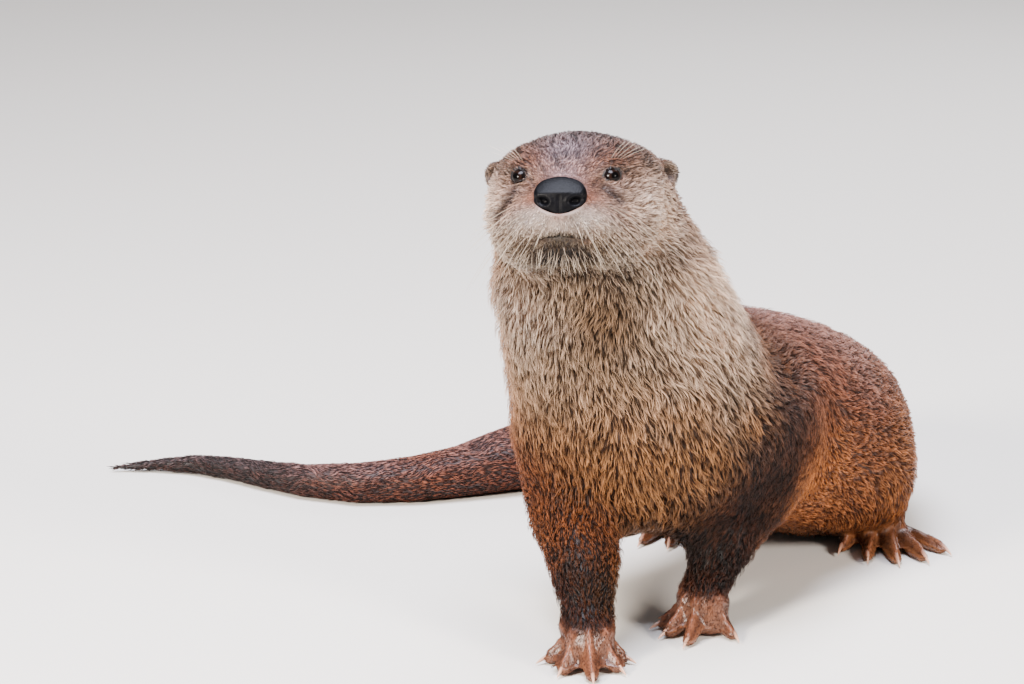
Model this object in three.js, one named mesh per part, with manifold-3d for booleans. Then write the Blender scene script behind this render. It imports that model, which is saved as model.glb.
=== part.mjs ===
// A North American river otter at life size, resting: forequarters up on straight front legs,
// trunk bent round to its left, hind feet flat and the tail laid out on the floor.
// Millimetres, +Z up. The animal faces -Y and its left side is +X.
import * as THREE from 'three';
import { mergeVertices } from 'three/addons/utils/BufferGeometryUtils.js';
import Module from 'manifold-3d';

const wasm = await Module();
wasm.setup();

// ---------- driving dimensions ----------
const gap = 0.3; // slit left between two parts
const grain = 0.003; // finest step of a corner
const blend = { trunk: 16, neck: 15, leg: 15, paw: 5 };
const headTurn = THREE.MathUtils.degToRad(7.5); // to the animal's right
const headLift = THREE.MathUtils.degToRad(15); // nose up
const headTilt = THREE.MathUtils.degToRad(2.3); // left ear up
const betweenEyes = [33.4, -2, 311]; // where the head hangs from
const skullShift = 3; // the skull behind the face leans to the animal's left
const eye = { side: 27.3, forward: -0.5, up: 0, radius: 6.2 };
const clawRoot = 1.9;
const clawLength = 11;

// The spine from nape to tail tip: centre, half width, half depth, and which way the back faces.
const spine = [
  { name: 'nape', at: [45, 58, 272], wide: 58, deep: 50, back: [0.1, 0.95, 0.3] },
  { name: 'throat', at: [57.5, 60, 230], wide: 71, deep: 57, back: [0.1, 1, 0.15] },
  { name: 'collar', at: [74, 68, 180], wide: 79, deep: 66, back: [0.2, 0.9, 0.4] },
  { name: 'breast', at: [94, 86, 137], wide: 82, deep: 74, back: [0.2, 0.6, 0.7] },
  { name: 'ribs', at: [124, 126, 122], wide: 72, deep: 77, back: [0.1, 0.2, 1] },
  { name: 'waist', at: [155, 172, 111], wide: 70, deep: 71, back: [0, 0, 1] },
  { name: 'loin', at: [184, 218, 93], wide: 70, deep: 70, back: [0, 0, 1] },
  { name: 'hips', at: [204, 268, 70], wide: 70, deep: 71.5, back: [0, 0, 1] },
  { name: 'rump', at: [197, 334, 65], wide: 62, deep: 57, back: [0, 0, 1] },
  { name: 'croup', at: [155, 385, 53], wide: 50, deep: 46, back: [0, 0, 1] },
  { name: 'tailRoot', at: [102, 398, 40], wide: 40, deep: 38, back: [0, 0, 1] },
  { name: 'tailBase', at: [48, 386, 29], wide: 32, deep: 29, back: [0, 0, 1] },
  { name: 'tailBend', at: [-2, 362, 23], wide: 26, deep: 23.4, back: [0, 0, 1] },
  { name: 'tailFirst', at: [-46, 343, 17.5], wide: 19.5, deep: 18, back: [0, 0, 1] },
  { name: 'tailHollow', at: [-97, 330, 15.2], wide: 16.8, deep: 15.6, back: [0, 0, 1] },
  { name: 'tailTurn', at: [-151, 347, 11.8], wide: 13.4, deep: 12.2, back: [0, 0, 1] },
  { name: 'tailSecond', at: [-195, 381, 9.4], wide: 10.6, deep: 9.8, back: [0, 0, 1] },
  { name: 'tailThird', at: [-240, 404, 6.9], wide: 8, deep: 7.3, back: [0, 0, 1] },
  { name: 'tailTip', at: [-292, 404, 3.2], wide: 3.6, deep: 3.3, back: [0, 0, 1] },
];
const station = (name) => spine.findIndex((s) => s.name === name);

// Masses of the head in its own frame: side (mirrored where given), forward and up from between the eyes.
const headMasses = [
  { name: 'braincase', at: [skullShift, -42, -6], size: [51.5, 50, 37], soft: 0 },
  { name: 'occiput', at: [skullShift, -66, -14], size: [49, 34, 34], soft: 12 },
  { name: 'temple', at: [31, -48, 1], size: [22.5, 34, 20.5], soft: 8, mirrored: true, shift: skullShift },
  { name: 'forehead', at: [0, -15, -2], size: [30, 26, 19], soft: 9 },
  { name: 'bridge', at: [-0.5, 12, -12.8], size: [14.5, 25.5, 10.6], soft: 8 },
  { name: 'muzzle', at: [0, 6, -26], size: [35, 28, 17], soft: 9 },
  { name: 'whiskerPad', at: [15.5, 18, -26], size: [18.5, 15.5, 12.5], soft: 6, mirrored: true },
  { name: 'lip', at: [0, 25, -27], size: [13, 11, 11], soft: 5 },
  { name: 'chin', at: [0, 13, -43], size: [21, 17, 10.5], soft: 6 },
  { name: 'jaw', at: [20, -9, -38], size: [21, 30, 18], soft: 9, mirrored: true },
  {
    name: 'cheek',
    at: [31, -22, -22],
    size: [21.5, 34, 26],
    soft: 10,
    mirrored: true,
    shift: skullShift * 0.6,
  },
  { name: 'brow', at: [25, -8, 8], size: [12, 10, 6], soft: 5, mirrored: true },
];
const nose = {
  pad: { at: [-0.5, 29, -11.5], size: [15.2, 8.6, 9] },
  wing: { at: [9, 29, -13], size: [6.4, 7.8, 7.6] },
  foot: { at: [-0.5, 30.5, -17.5], size: [7, 6.4, 6] },
  nostril: { at: [9.4, 37.4, -14.2], size: [3.6, 4, 2.4] },
};
const ear = { side: 52.5, forward: -54, up: 4, wide: 10.4, high: 9.6, thick: 4.8 };
ear.hollow = { wide: 7, high: 6.3, thick: 4.2, forward: 3.5 };

// Front legs from shoulder to wrist, then a paw that slopes down to toes on the floor.
const frontLegs = {
  right: {
    bones: [
      { at: [35, 84, 126], radius: 36 },
      { at: [38, 66, 79], radius: 27 },
      { at: [45, 24, 59], radius: 20.5 },
      { at: [47, 3, 43], radius: 18.5 },
    ],
    heading: -1.57,
    wrist: [47, 0, 38],
    spread: [1.06, 0.54, 0.06, -0.4, -1.06],
    reach: [30, 41, 53, 43, 31],
  },
  left: {
    bones: [
      { at: [150, 98, 122], radius: 38 },
      { at: [154, 104, 84], radius: 30 },
      { at: [139, 85, 59], radius: 20.5 },
      { at: [131, 68, 43], radius: 17.5 },
    ],
    heading: -1.92,
    wrist: [130, 66, 38],
    spread: [1.35, 0.84, 0.44, 0.02, -0.68],
    reach: [30, 39, 46, 54, 40],
  },
};
// Hind legs folded beside the belly, soles flat.
const hindLegs = {
  left: {
    bones: [
      { at: [226, 288, 68], radius: 46 },
      { at: [238, 232, 52], radius: 36 },
      { at: [245, 268, 27], radius: 23 },
      { at: [246, 292, 17], radius: 15.5 },
    ],
    heading: -1.42,
    wrist: [245, 290, 12],
    spread: [0.42, 0.2, 0.01, -0.18, -0.4],
    reach: [84, 100, 107, 106, 96],
  },
  right: {
    bones: [
      { at: [168, 300, 66], radius: 43 },
      { at: [142, 262, 50], radius: 32 },
      { at: [134, 304, 26], radius: 22 },
      { at: [130, 328, 17], radius: 15 },
    ],
    heading: -1.78,
    wrist: [128, 325, 12],
    spread: [0.36, 0.2, 0.01, -0.18, -0.4],
    reach: [84, 100, 107, 106, 96],
  },
};
// The five toes from the inner one out: where they leave the palm, knuckle height and half width.
const frontToes = [
  { root: 16, knuckle: 16, width: 4.8 },
  { root: 20, knuckle: 18.5, width: 5.5 },
  { root: 23, knuckle: 20, width: 5.9 },
  { root: 21, knuckle: 19, width: 5.7 },
  { root: 16, knuckle: 16, width: 5.1 },
];
const hindToes = [
  { root: 44, knuckle: 10, width: 5.2 },
  { root: 48, knuckle: 10.5, width: 5.8 },
  { root: 49, knuckle: 11, width: 6 },
  { root: 48, knuckle: 10.5, width: 5.9 },
  { root: 44, knuckle: 10, width: 5.5 },
];
const toesOf = (leg, toes) =>
  toes.map((toe, i) => ({ ...toe, spread: leg.spread[i], reach: leg.reach[i] }));

// ---------- distance functions: negative inside, in millimetres ----------
const V = (a) => new THREE.Vector3(...a);
const geometryFrom = (points, faces) => {
  const geometry = new THREE.BufferGeometry().setFromPoints(points);
  geometry.setIndex(faces);
  return geometry;
};

// An ellipsoid given by its centre, three unit axes and three radii.
function ellipsoid(centre, axes, radii) {
  const [c, [a, b, n], [ra, rb, rn]] = [centre, axes, radii];
  return (x, y, z) => {
    const dx = x - c.x;
    const dy = y - c.y;
    const dz = z - c.z;
    const u = (dx * a.x + dy * a.y + dz * a.z) / ra;
    const v = (dx * b.x + dy * b.y + dz * b.z) / rb;
    const w = (dx * n.x + dy * n.y + dz * n.z) / rn;
    const near = Math.sqrt(u * u + v * v + w * w);
    const slope = Math.sqrt((u / ra) ** 2 + (v / rb) ** 2 + (w / rn) ** 2);
    return slope < 1e-9 ? -Math.min(ra, rb, rn) : (near * (near - 1)) / slope;
  };
}

// A tapered limb segment with round ends.
function roundCone(from, to, r1, r2) {
  const [a, ba] = [from, to.clone().sub(from)];
  const length = ba.length();
  const axis = ba.clone().divideScalar(length);
  const lean = (r1 - r2) / length;
  const side = Math.sqrt(Math.max(0, 1 - lean * lean));
  return (x, y, z) => {
    const dx = x - a.x;
    const dy = y - a.y;
    const dz = z - a.z;
    const along = dx * axis.x + dy * axis.y + dz * axis.z;
    const out = Math.sqrt(Math.max(0, dx * dx + dy * dy + dz * dz - along * along));
    const k = along * side - out * lean; // where the cone's own surface stands along the axis
    if (k < 0) return Math.hypot(along, out) - r1;
    if (k > length * side) return Math.hypot(along - length, out) - r2;
    return out * side + along * lean - r1;
  };
}

const smoothMin = (a, b, k) => {
  if (k <= 0) return Math.min(a, b);
  const h = Math.max(k - Math.abs(a - b), 0) / k;
  return Math.min(a, b) - (h * h * k) / 4;
};
const softUnion = (shapes, k) => (x, y, z) => {
  let d = shapes[0](x, y, z);
  for (let i = 1; i < shapes.length; i++) d = smoothMin(d, shapes[i](x, y, z), k);
  return d;
};

// ---------- spine ----------
const spineCurve = new THREE.CatmullRomCurve3(spine.map((s) => V(s.at)), false, 'centripetal');
const spineSpacing = 5;
const tailStep = 0.036;

// A value between two neighbouring stations, eased so that sizes change without a kink.
function between(key, t) {
  const last = spine.length - 1;
  const s = Math.min(last - 1e-6, Math.max(0, t * last));
  const i = Math.floor(s);
  const at = (j) => spine[Math.min(last, Math.max(0, j))][key];
  const [p0, p1, p2, p3] = [at(i - 1), at(i), at(i + 1), at(i + 2)];
  const f = s - i;
  const bend = (a, b, c, d) => {
    const [m1, m2] = [(c - a) / 2, (d - b) / 2];
    return (
      b * (2 * f ** 3 - 3 * f ** 2 + 1) + m1 * (f ** 3 - 2 * f ** 2 + f)
      + c * (3 * f ** 2 - 2 * f ** 3) + m2 * (f ** 3 - f ** 2)
    );
  };
  return Array.isArray(p1) ? p1.map((_, n) => bend(p0[n], p1[n], p2[n], p3[n])) : bend(p0, p1, p2, p3);
}

function spinePoint(t) {
  const centre = spineCurve.getPoint(t);
  const along = spineCurve.getTangent(t);
  const side = new THREE.Vector3().crossVectors(along, V(between('back', t))).normalize();
  const back = new THREE.Vector3().crossVectors(side, along).normalize();
  return { centre, along, side, back, wide: between('wide', t), deep: between('deep', t) };
}

const rings = Array.from({ length: Math.round(spineCurve.getLength() / spineSpacing) + 1 }, (_, i, all) => {
  const t = i / Math.round(spineCurve.getLength() / spineSpacing);
  return { t, ...spinePoint(t) };
});

// The nearest of a row of ellipsoids; those too far off to matter are passed over.
function spineDistance() {
  const discs = rings.map((p) => ({
    c: p.centre,
    reach: p.wide,
    shape: ellipsoid(p.centre, [p.side, p.back, p.along], [p.wide, p.deep, Math.min(0.55 * p.deep, 40)]),
  }));
  return (x, y, z) => {
    let best = Infinity;
    for (const { c, reach, shape } of discs) {
      const away = Math.sqrt((x - c.x) ** 2 + (y - c.y) ** 2 + (z - c.z) ** 2) - reach;
      if (away < best) best = Math.min(best, shape(x, y, z));
    }
    return best;
  };
}

// How far along the spine the nearest ring to a point is, from 0 at the nape to 1 at the tail tip.
function alongSpine(p) {
  const at = V(p);
  const nearer = (a, b) => (a.centre.distanceToSquared(at) < b.centre.distanceToSquared(at) ? a : b);
  return rings.reduce(nearer).t;
}

// ---------- head ----------
const headForward = new THREE.Vector3(
  -Math.sin(headTurn) * Math.cos(headLift),
  -Math.cos(headTurn) * Math.cos(headLift),
  Math.sin(headLift),
);
const headLeft = new THREE.Vector3(Math.cos(headTurn), -Math.sin(headTurn), 0)
  .applyAxisAngle(headForward, headTilt);
const headUp = new THREE.Vector3().crossVectors(headForward, headLeft);
const headAxes = [headLeft, headForward, headUp];
const inHead = ([side, forward, up]) =>
  V(betweenEyes)
    .addScaledVector(headLeft, side)
    .addScaledVector(headForward, forward)
    .addScaledVector(headUp, up);
const headShape = ({ at, size, shift = 0 }, mirror = 1) =>
  ellipsoid(inHead([at[0] * mirror + shift, at[1], at[2]]), headAxes, size);
const bothSides = (mass) => (mass.mirrored ? [1, -1] : [1]);

function headDistance() {
  const parts = headMasses.flatMap((m) => bothSides(m).map((side) => [headShape(m, side), m.soft]));
  return (x, y, z) => {
    let d = parts[0][0](x, y, z);
    for (let i = 1; i < parts.length; i++) d = smoothMin(d, parts[i][0](x, y, z), parts[i][1]);
    return d;
  };
}

function noseDistance() {
  const [pad, foot] = [headShape(nose.pad), headShape(nose.foot)];
  const shift = nose.pad.at[0];
  const wings = [1, -1].map((side) => headShape({ ...nose.wing, shift }, side));
  const nostrils = [1, -1].map((side) => headShape({ ...nose.nostril, shift }, side));
  return (x, y, z) => {
    const solid = softUnion([pad, ...wings, foot], 3)(x, y, z);
    const hole = Math.min(nostrils[0](x, y, z), nostrils[1](x, y, z));
    return -smoothMin(-solid, hole, 1.2);
  };
}

// ---------- legs and paws ----------
const limb = (bones) => {
  const shapes = bones
    .slice(1)
    .map((b, i) => roundCone(V(bones[i].at), V(b.at), bones[i].radius, b.radius));
  return softUnion(shapes, blend.leg);
};

// A point in a paw's frame: reach along a direction turned by spread from the heading, at a height.
// Positive spread turns towards the animal's midline.
const inPaw = (leg, inward, spread, reach, height) => {
  const angle = leg.heading + spread * inward;
  return new THREE.Vector3(
    leg.wrist[0] + Math.cos(angle) * reach,
    leg.wrist[1] + Math.sin(angle) * reach,
    height,
  );
};

// The hand or the foot without its toes.
function palmDistance(leg, inward, sole, toes) {
  const heel = V(leg.wrist);
  const fore = inPaw(leg, inward, 0, sole.reach, sole.height);
  const ahead = fore.clone().sub(heel).normalize();
  const across = new THREE.Vector3().crossVectors(ahead, new THREE.Vector3(0, 0, 1)).normalize();
  const upward = new THREE.Vector3().crossVectors(across, ahead);
  const middle = heel.clone().lerp(fore, 0.5);
  const palmSize = [sole.wide, heel.distanceTo(fore) * 0.72, sole.thick];
  const palm = ellipsoid(middle, [across, ahead, upward], palmSize);
  const level = [across, ahead.clone().setZ(0).normalize(), new THREE.Vector3(0, 0, 1)];
  const ballAt = inPaw(leg, inward, 0, sole.reach * 0.86, sole.ball);
  const ball = ellipsoid(ballAt, level, [sole.wide * 0.98, sole.wide * 0.66, sole.ball + 1.3]);
  const rays = toesOf(leg, toes).map((toe) => {
    const behind = inPaw(leg, inward, toe.spread * sole.gather, sole.back, sole.high);
    const before = inPaw(leg, inward, toe.spread * 0.82, toe.root + sole.before, toe.knuckle);
    return roundCone(behind, before, sole.thick * 0.72, toe.width * 1.08);
  });
  return softUnion([palm, ball, ...rays], blend.paw);
}

// ---------- the whole body ----------
const inwardOf = { left: -1, right: 1 };
// the palm's length, height, half width and thickness, its ball, and where the hand's long bones run
const frontSole = { reach: 26, height: 18, wide: 18.5, thick: 12.5, ball: 8.5 };
Object.assign(frontSole, { gather: 0.4, back: 5, high: 29, before: 4 });
const hindSole = { reach: 56, height: 10, wide: 21, thick: 10.5, ball: 7.5 };
Object.assign(hindSole, { gather: 0.5, back: 18, high: 10, before: 4 });

const bodyShapes = {
  spine: spineDistance(),
  head: headDistance(),
  limbs: [...Object.values(frontLegs), ...Object.values(hindLegs)].map((leg) => limb(leg.bones)),
  paws: [
    ...Object.entries(frontLegs).map(([s, leg]) => palmDistance(leg, inwardOf[s], frontSole, frontToes)),
    ...Object.entries(hindLegs).map(([s, leg]) => palmDistance(leg, inwardOf[s], hindSole, hindToes)),
  ],
};
function bodyDistance(x, y, z) {
  let d = smoothMin(bodyShapes.spine(x, y, z), bodyShapes.head(x, y, z), blend.neck);
  for (const leg of bodyShapes.limbs) d = smoothMin(d, leg(x, y, z), blend.trunk);
  for (const paw of bodyShapes.paws) d = smoothMin(d, paw(x, y, z), blend.paw);
  return d;
}

// ---------- surface of a distance function ----------
// One vertex in every cell that the surface crosses, moved onto the surface, and one square for every
// grid edge that it crosses.
function surfaceOf(distance, from, high, cell) {
  // the same grid everywhere, so that neighbours of one cell size meet in the same facets
  const low = from.map((v) => Math.floor(v / cell) * cell + cell * 0.37);
  const count = low.map((v, i) => Math.ceil((high[i] - v) / cell) + 1);
  const [nx, ny, nz] = count;
  const index = (i, j, k) => i + nx * (j + ny * k);
  const value = new Float64Array(nx * ny * nz);
  for (let k = 0; k < nz; k++) {
    for (let j = 0; j < ny; j++) {
      for (let i = 0; i < nx; i++) {
        const rim = i === 0 || j === 0 || k === 0 || i === nx - 1 || j === ny - 1 || k === nz - 1;
        const d = distance(low[0] + i * cell, low[1] + j * cell, low[2] + k * cell);
        value[index(i, j, k)] = rim ? Math.max(d, 0.3 * cell) : d;
      }
    }
  }
  const vertexOf = new Int32Array(nx * ny * nz).fill(-1);
  const positions = [];
  const corners = [0, 1, 2, 3, 4, 5, 6, 7].map((c) => [c & 1, (c >> 1) & 1, c >> 2]);
  const edges = [];
  for (let a = 0; a < 8; a++) for (const bit of [1, 2, 4]) if (!(a & bit)) edges.push([a, a | bit]);
  for (let k = 0; k < nz - 1; k++) {
    for (let j = 0; j < ny - 1; j++) {
      for (let i = 0; i < nx - 1; i++) {
        const v = corners.map(([a, b, c]) => value[index(i + a, j + b, k + c)]);
        const inside = v.filter((d) => d < 0).length;
        if (inside === 0 || inside === 8) continue;
        const sum = new THREE.Vector3();
        let crossings = 0;
        for (const [a, b] of edges) {
          if (v[a] < 0 === v[b] < 0) continue;
          const t = v[a] / (v[a] - v[b]);
          sum.add(V(corners[a]).lerp(V(corners[b]), t));
          crossings++;
        }
        sum.divideScalar(crossings).add(new THREE.Vector3(i, j, k)).multiplyScalar(cell).add(V(low));
        vertexOf[index(i, j, k)] = positions.length;
        positions.push(sum);
      }
    }
  }
  const faces = [];
  const quad = (a, b, c, d, flip) => {
    const [p, q, r, s] = flip ? [a, d, c, b] : [a, b, c, d];
    const shortPR = positions[p].distanceTo(positions[r]) < positions[q].distanceTo(positions[s]);
    faces.push(...(shortPR ? [p, q, r, p, r, s] : [q, r, s, q, s, p]));
  };
  for (let k = 0; k < nz - 1; k++) {
    for (let j = 0; j < ny - 1; j++) {
      for (let i = 0; i < nx - 1; i++) {
        const here = value[index(i, j, k)] < 0;
        const cellAt = (a, b, c) => vertexOf[index(i - a, j - b, k - c)];
        if (j && k && here !== value[index(i + 1, j, k)] < 0) {
          quad(cellAt(0, 0, 0), cellAt(0, 1, 0), cellAt(0, 1, 1), cellAt(0, 0, 1), !here);
        }
        if (i && k && here !== value[index(i, j + 1, k)] < 0) {
          quad(cellAt(0, 0, 0), cellAt(0, 0, 1), cellAt(1, 0, 1), cellAt(1, 0, 0), !here);
        }
        if (i && j && here !== value[index(i, j, k + 1)] < 0) {
          quad(cellAt(0, 0, 0), cellAt(1, 0, 0), cellAt(1, 1, 0), cellAt(0, 1, 0), !here);
        }
      }
    }
  }
  settle(positions, distance, cell, low, high);
  return geometryFrom(positions, faces);
}

// Moves each vertex along the slope of the distance, by at most half a cell, until it lies on the surface.
function settle(positions, distance, cell, low, high) {
  const e = 0.05 * cell;
  const rim = cell * 1.5;
  for (const p of positions) {
    const atRim = p.toArray().some((c, i) => c < low[i] + rim || c > high[i] - rim);
    if (atRim) continue;
    const start = p.clone();
    for (let step = 0; step < 4; step++) {
      const d = distance(p.x, p.y, p.z);
      const slope = new THREE.Vector3(
        distance(p.x + e, p.y, p.z) - distance(p.x - e, p.y, p.z),
        distance(p.x, p.y + e, p.z) - distance(p.x, p.y - e, p.z),
        distance(p.x, p.y, p.z + e) - distance(p.x, p.y, p.z - e),
      ).divideScalar(2 * e);
      const steep = slope.lengthSq();
      if (steep < 0.05) break;
      p.addScaledVector(slope, -d / steep);
    }
    const moved = p.clone().sub(start);
    if (moved.length() > 0.5 * cell) p.copy(start).add(moved.setLength(0.5 * cell));
  }
}

// ---------- solids: joining and cutting ----------
function solidOf(geometry) {
  const bare = geometry.index ? geometry.toNonIndexed() : geometry.clone();
  const merged = mergeVertices(
    new THREE.BufferGeometry().setAttribute('position', bare.getAttribute('position')), 1e-3,
  );
  return new wasm.Manifold(new wasm.Mesh({
    numProp: 3,
    vertProperties: merged.attributes.position.array,
    triVerts: new Uint32Array(merged.index.array),
  }));
}

// The solid's surface with its corners set on a fine grid, so that slivers left by a cut close up.
function geometryOf(solid) {
  const { vertProperties, triVerts } = solid.getMesh();
  const corners = new Map();
  const points = [];
  const cornerOf = (i) => {
    const p = [0, 1, 2].map((n) => Math.round(vertProperties[i * 3 + n] / grain) * grain);
    const key = p.map((v) => Math.round(v / grain)).join();
    if (!corners.has(key)) corners.set(key, points.push(p) - 1);
    return corners.get(key);
  };
  const faces = new Map();
  for (let i = 0; i < triVerts.length; i += 3) {
    const face = [0, 1, 2].map((n) => cornerOf(triVerts[i + n]));
    if (new Set(face).size < 3) continue;
    const key = [...face].sort((a, b) => a - b).join();
    if (faces.has(key)) faces.delete(key);
    else faces.set(key, face);
  }
  const geometry = new THREE.BufferGeometry();
  geometry.setAttribute('position', new THREE.Float32BufferAttribute(points.flat(), 3));
  geometry.setIndex([...faces.values()].flat());
  return geometry;
}

const farSide = 900;

// Everything on the side of a plane that its normal points to, half a gap away from it.
function halfSpace(point, normal) {
  const n = V(normal).normalize();
  const box = new THREE.BoxGeometry(farSide, farSide, farSide);
  box.translate(0, 0, farSide / 2 + gap / 2);
  box.applyQuaternion(new THREE.Quaternion().setFromUnitVectors(new THREE.Vector3(0, 0, 1), n));
  box.translate(...point);
  return solidOf(box);
}
const opposite = (normal) => normal.map((v) => -v);
const onFloor = (solid) => solid.intersect(halfSpace([0, 0, -gap / 2], [0, 0, 1]));

// What lies on the inner side of every plane of a limb; grow is what is added all round.
function limbRegion(planes, grow) {
  const wall = farSide / 2;
  let region = null;
  for (const [point, normal] of planes) {
    const n = V(normal).normalize();
    const box = new THREE.BoxGeometry(farSide, farSide, farSide);
    box.translate(0, 0, wall - grow);
    box.applyQuaternion(new THREE.Quaternion().setFromUnitVectors(new THREE.Vector3(0, 0, 1), n));
    box.translate(...point);
    region = region ? region.intersect(solidOf(box)) : solidOf(box);
  }
  return region;
}

const mainPiece = (solid) => solid.decompose().sort((a, b) => b.volume() - a.volume())[0];

// The connected piece of a solid that is round a point, without the crumbs that a cut may leave.
function pieceAt(solid, point) {
  const holds = (piece) => {
    const { min, max } = piece.boundingBox();
    return point.every((v, i) => v > min[i] && v < max[i]);
  };
  return solid.decompose().filter(holds).sort((a, b) => b.volume() - a.volume())[0] ?? mainPiece(solid);
}

// ---------- where the body is parted ----------
const spineShare = (name, share) => (station(name) + share) / (spine.length - 1);
const cuts = {
  neck: spineShare('collar', -0.12),
  chest: spineShare('ribs', 0.45),
  loin: spineShare('loin', 0.45),
  hips: spineShare('croup', 0.75),
  tailBase: spineShare('tailBend', 0.1),
  tailMiddle: spineShare('tailHollow', 0.9),
};
const headCut = { point: [42, 40, 268], toTail: [0, 0.3, -0.954] };
const cutAt = (t) => {
  if (t === 'head') return headCut;
  const p = spinePoint(t);
  return { point: p.centre.toArray(), toTail: p.along.toArray() };
};
// Each limb is what lies behind a few planes: a point on each and the way into the limb.
const regions = {
  frontLegRight: [
    [[38, 66, 99], [-0.7, -0.12, -0.7]],
    [[76, 0, 0], [-1, 0, 0]],
    [[0, 118, 0], [0, -1, 0]],
  ],
  frontLegLeft: [
    [[154, 104, 104], [0.7, -0.2, -0.69]],
    [[104, 0, 0], [1, 0, 0.1]],
    [[0, 137, 0], [0, -1, 0]],
  ],
  frontPawRight: [
    [[47, 13.5, 46], [0.03, -0.8, -0.6]],
    [[84, 0, 0], [-1, 0, 0]],
    [[0, 0, 70], [0, 0, -1]],
  ],
  frontPawLeft: [
    [[131, 77, 46], [-0.28, -0.76, -0.6]],
    [[84, 0, 0], [1, 0, 0]],
    [[0, 0, 70], [0, 0, -1]],
  ],
  hindLegLeft: [
    [[238, 0, 30], [0.88, 0, -0.47]],
    [[0, 175, 0], [0, 1, 0]],
    [[0, 336, 0], [0, -1, 0]],
  ],
  hindLegRight: [
    [[140, 265, 30], [-0.85, 0.14, -0.5]],
    [[0, 215, 0], [0, 1, 0]],
    [[0, 342, 0], [0, -1, 0]],
  ],
  hindPawLeft: [
    [[0, 0, 21.5], [0, 0, -1]],
    [[222, 0, 0], [1, 0, 0]],
    [[0, 312, 0], [0, -1, 0.2]],
  ],
  hindPawRight: [
    [[0, 0, 21.5], [0, 0, -1]],
    [[155, 0, 0], [-1, 0, 0]],
    [[0, 340, 0], [0, -1, 0.2]],
    [[0, 180, 0], [0, 1, 0]],
  ],
};

const coarse = 12;
const reachLow = [-320, -90, -14];
const reachHigh = [330, 470, 360];
const samples = [];
for (let z = reachLow[2]; z < reachHigh[2]; z += coarse) {
  for (let y = reachLow[1]; y < reachHigh[1]; y += coarse) {
    for (let x = reachLow[0]; x < reachHigh[0]; x += coarse) {
      if (bodyDistance(x, y, z) < coarse) samples.push({ p: [x, y, z], t: alongSpine([x, y, z]) });
    }
  }
}

// A length of the body between two cuts, less what belongs to its limbs.
function bodyLength(from, to, cell, without = []) {
  const [start, end] = [from === 'head' ? 0 : from ?? 0, to === 'head' ? 0 : to ?? 1];
  const room = coarse * 1.7;
  const low = [Infinity, Infinity, Infinity];
  const high = [-Infinity, -Infinity, -Infinity];
  const ends = [from && [cutAt(from), 1], to && [cutAt(to), -1]].filter(Boolean);
  const side = (p, [{ point, toTail }, sign]) =>
    sign * p.reduce((s, v, i) => s + (v - point[i]) * toTail[i], 0);
  for (const { p, t } of samples) {
    if (t < start - 0.02 || t > end + 0.02 || ends.some((e) => side(p, e) < -coarse)) continue;
    p.forEach((v, i) => {
      low[i] = Math.min(low[i], v - room);
      high[i] = Math.max(high[i], v + room);
    });
  }
  let solid = onFloor(solidOf(surfaceOf(bodyDistance, low, high, cell)));
  for (const [{ point, toTail }, sign] of ends) {
    solid = solid.intersect(halfSpace(point, toTail.map((v) => v * sign)));
  }
  for (const region of without) solid = solid.subtract(limbRegion(region, gap));
  return pieceAt(solid, to === 'head' ? betweenEyes : spinePoint((start + end) / 2).centre.toArray());
}

// The limb itself, less the regions of what grows from it; its bounds are those of its bones.
function limbPiece(region, leg, reach, cell, without = []) {
  const points = leg.bones.map((b) => V(b.at)).concat(V(leg.wrist).setZ(0));
  const bounds = new THREE.Box3().setFromPoints(points).expandByScalar(reach);
  const [low, high] = [bounds.min.toArray(), bounds.max.toArray()];
  let solid = onFloor(solidOf(surfaceOf(bodyDistance, low, high, cell))).intersect(limbRegion(region, 0));
  for (const other of without) solid = solid.subtract(limbRegion(other, gap));
  return mainPiece(solid);
}

// ---------- materials ----------
const coat = (color) => new THREE.MeshStandardMaterial({ color, roughness: 0.75, metalness: 0 });
const looks = {
  brownCoat: coat('#4a2c1d'),
  paleCoat: coat('#a58d74'),
  pawSkin: coat('#3a2620'),
  nose: new THREE.MeshStandardMaterial({ color: '#15161a', roughness: 0.45, metalness: 0 }),
  eye: new THREE.MeshStandardMaterial({ color: '#0d0908', roughness: 0.08, metalness: 0 }),
  claw: new THREE.MeshStandardMaterial({ color: '#b5836a', roughness: 0.4, metalness: 0 }),
};

// ---------- building ----------
const otter = new THREE.Group();
otter.name = 'river_otter';
function place(name, solid, material) {
  const mesh = new THREE.Mesh(geometryOf(mainPiece(solidOf(geometryOf(solid)))), material);
  mesh.name = name;
  otter.add(mesh);
}

// A ball squeezed along three axes.
function lozenge(centre, axes, radii, around, down) {
  const sphere = new THREE.SphereGeometry(1, around, down);
  sphere.scale(...radii);
  sphere.applyMatrix4(new THREE.Matrix4().makeBasis(...axes).setPosition(centre));
  return solidOf(sphere);
}

// A small round ear, rooted in the side of the head: the disc, grown by a margin, and its hollow.
function earShapes(side, grow) {
  const centre = inHead([ear.side * side + skullShift, ear.forward, ear.up]);
  const out = headLeft.clone().multiplyScalar(side * 0.9).addScaledVector(headForward, -0.45).normalize();
  const top = headUp.clone();
  const face = new THREE.Vector3().crossVectors(out, top).multiplyScalar(side).normalize();
  const axes = [new THREE.Vector3().crossVectors(top, face), top, face];
  const hollowAt = centre.clone().addScaledVector(face, ear.hollow.forward).addScaledVector(out, 0.8);
  const grown = [ear.wide, ear.high, ear.thick].map((v) => v + grow);
  return {
    disc: lozenge(centre, axes, grown, 10, 6),
    hollow: lozenge(hollowAt, axes, [ear.hollow.wide, ear.hollow.high, ear.hollow.thick], 8, 5),
  };
}

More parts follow.
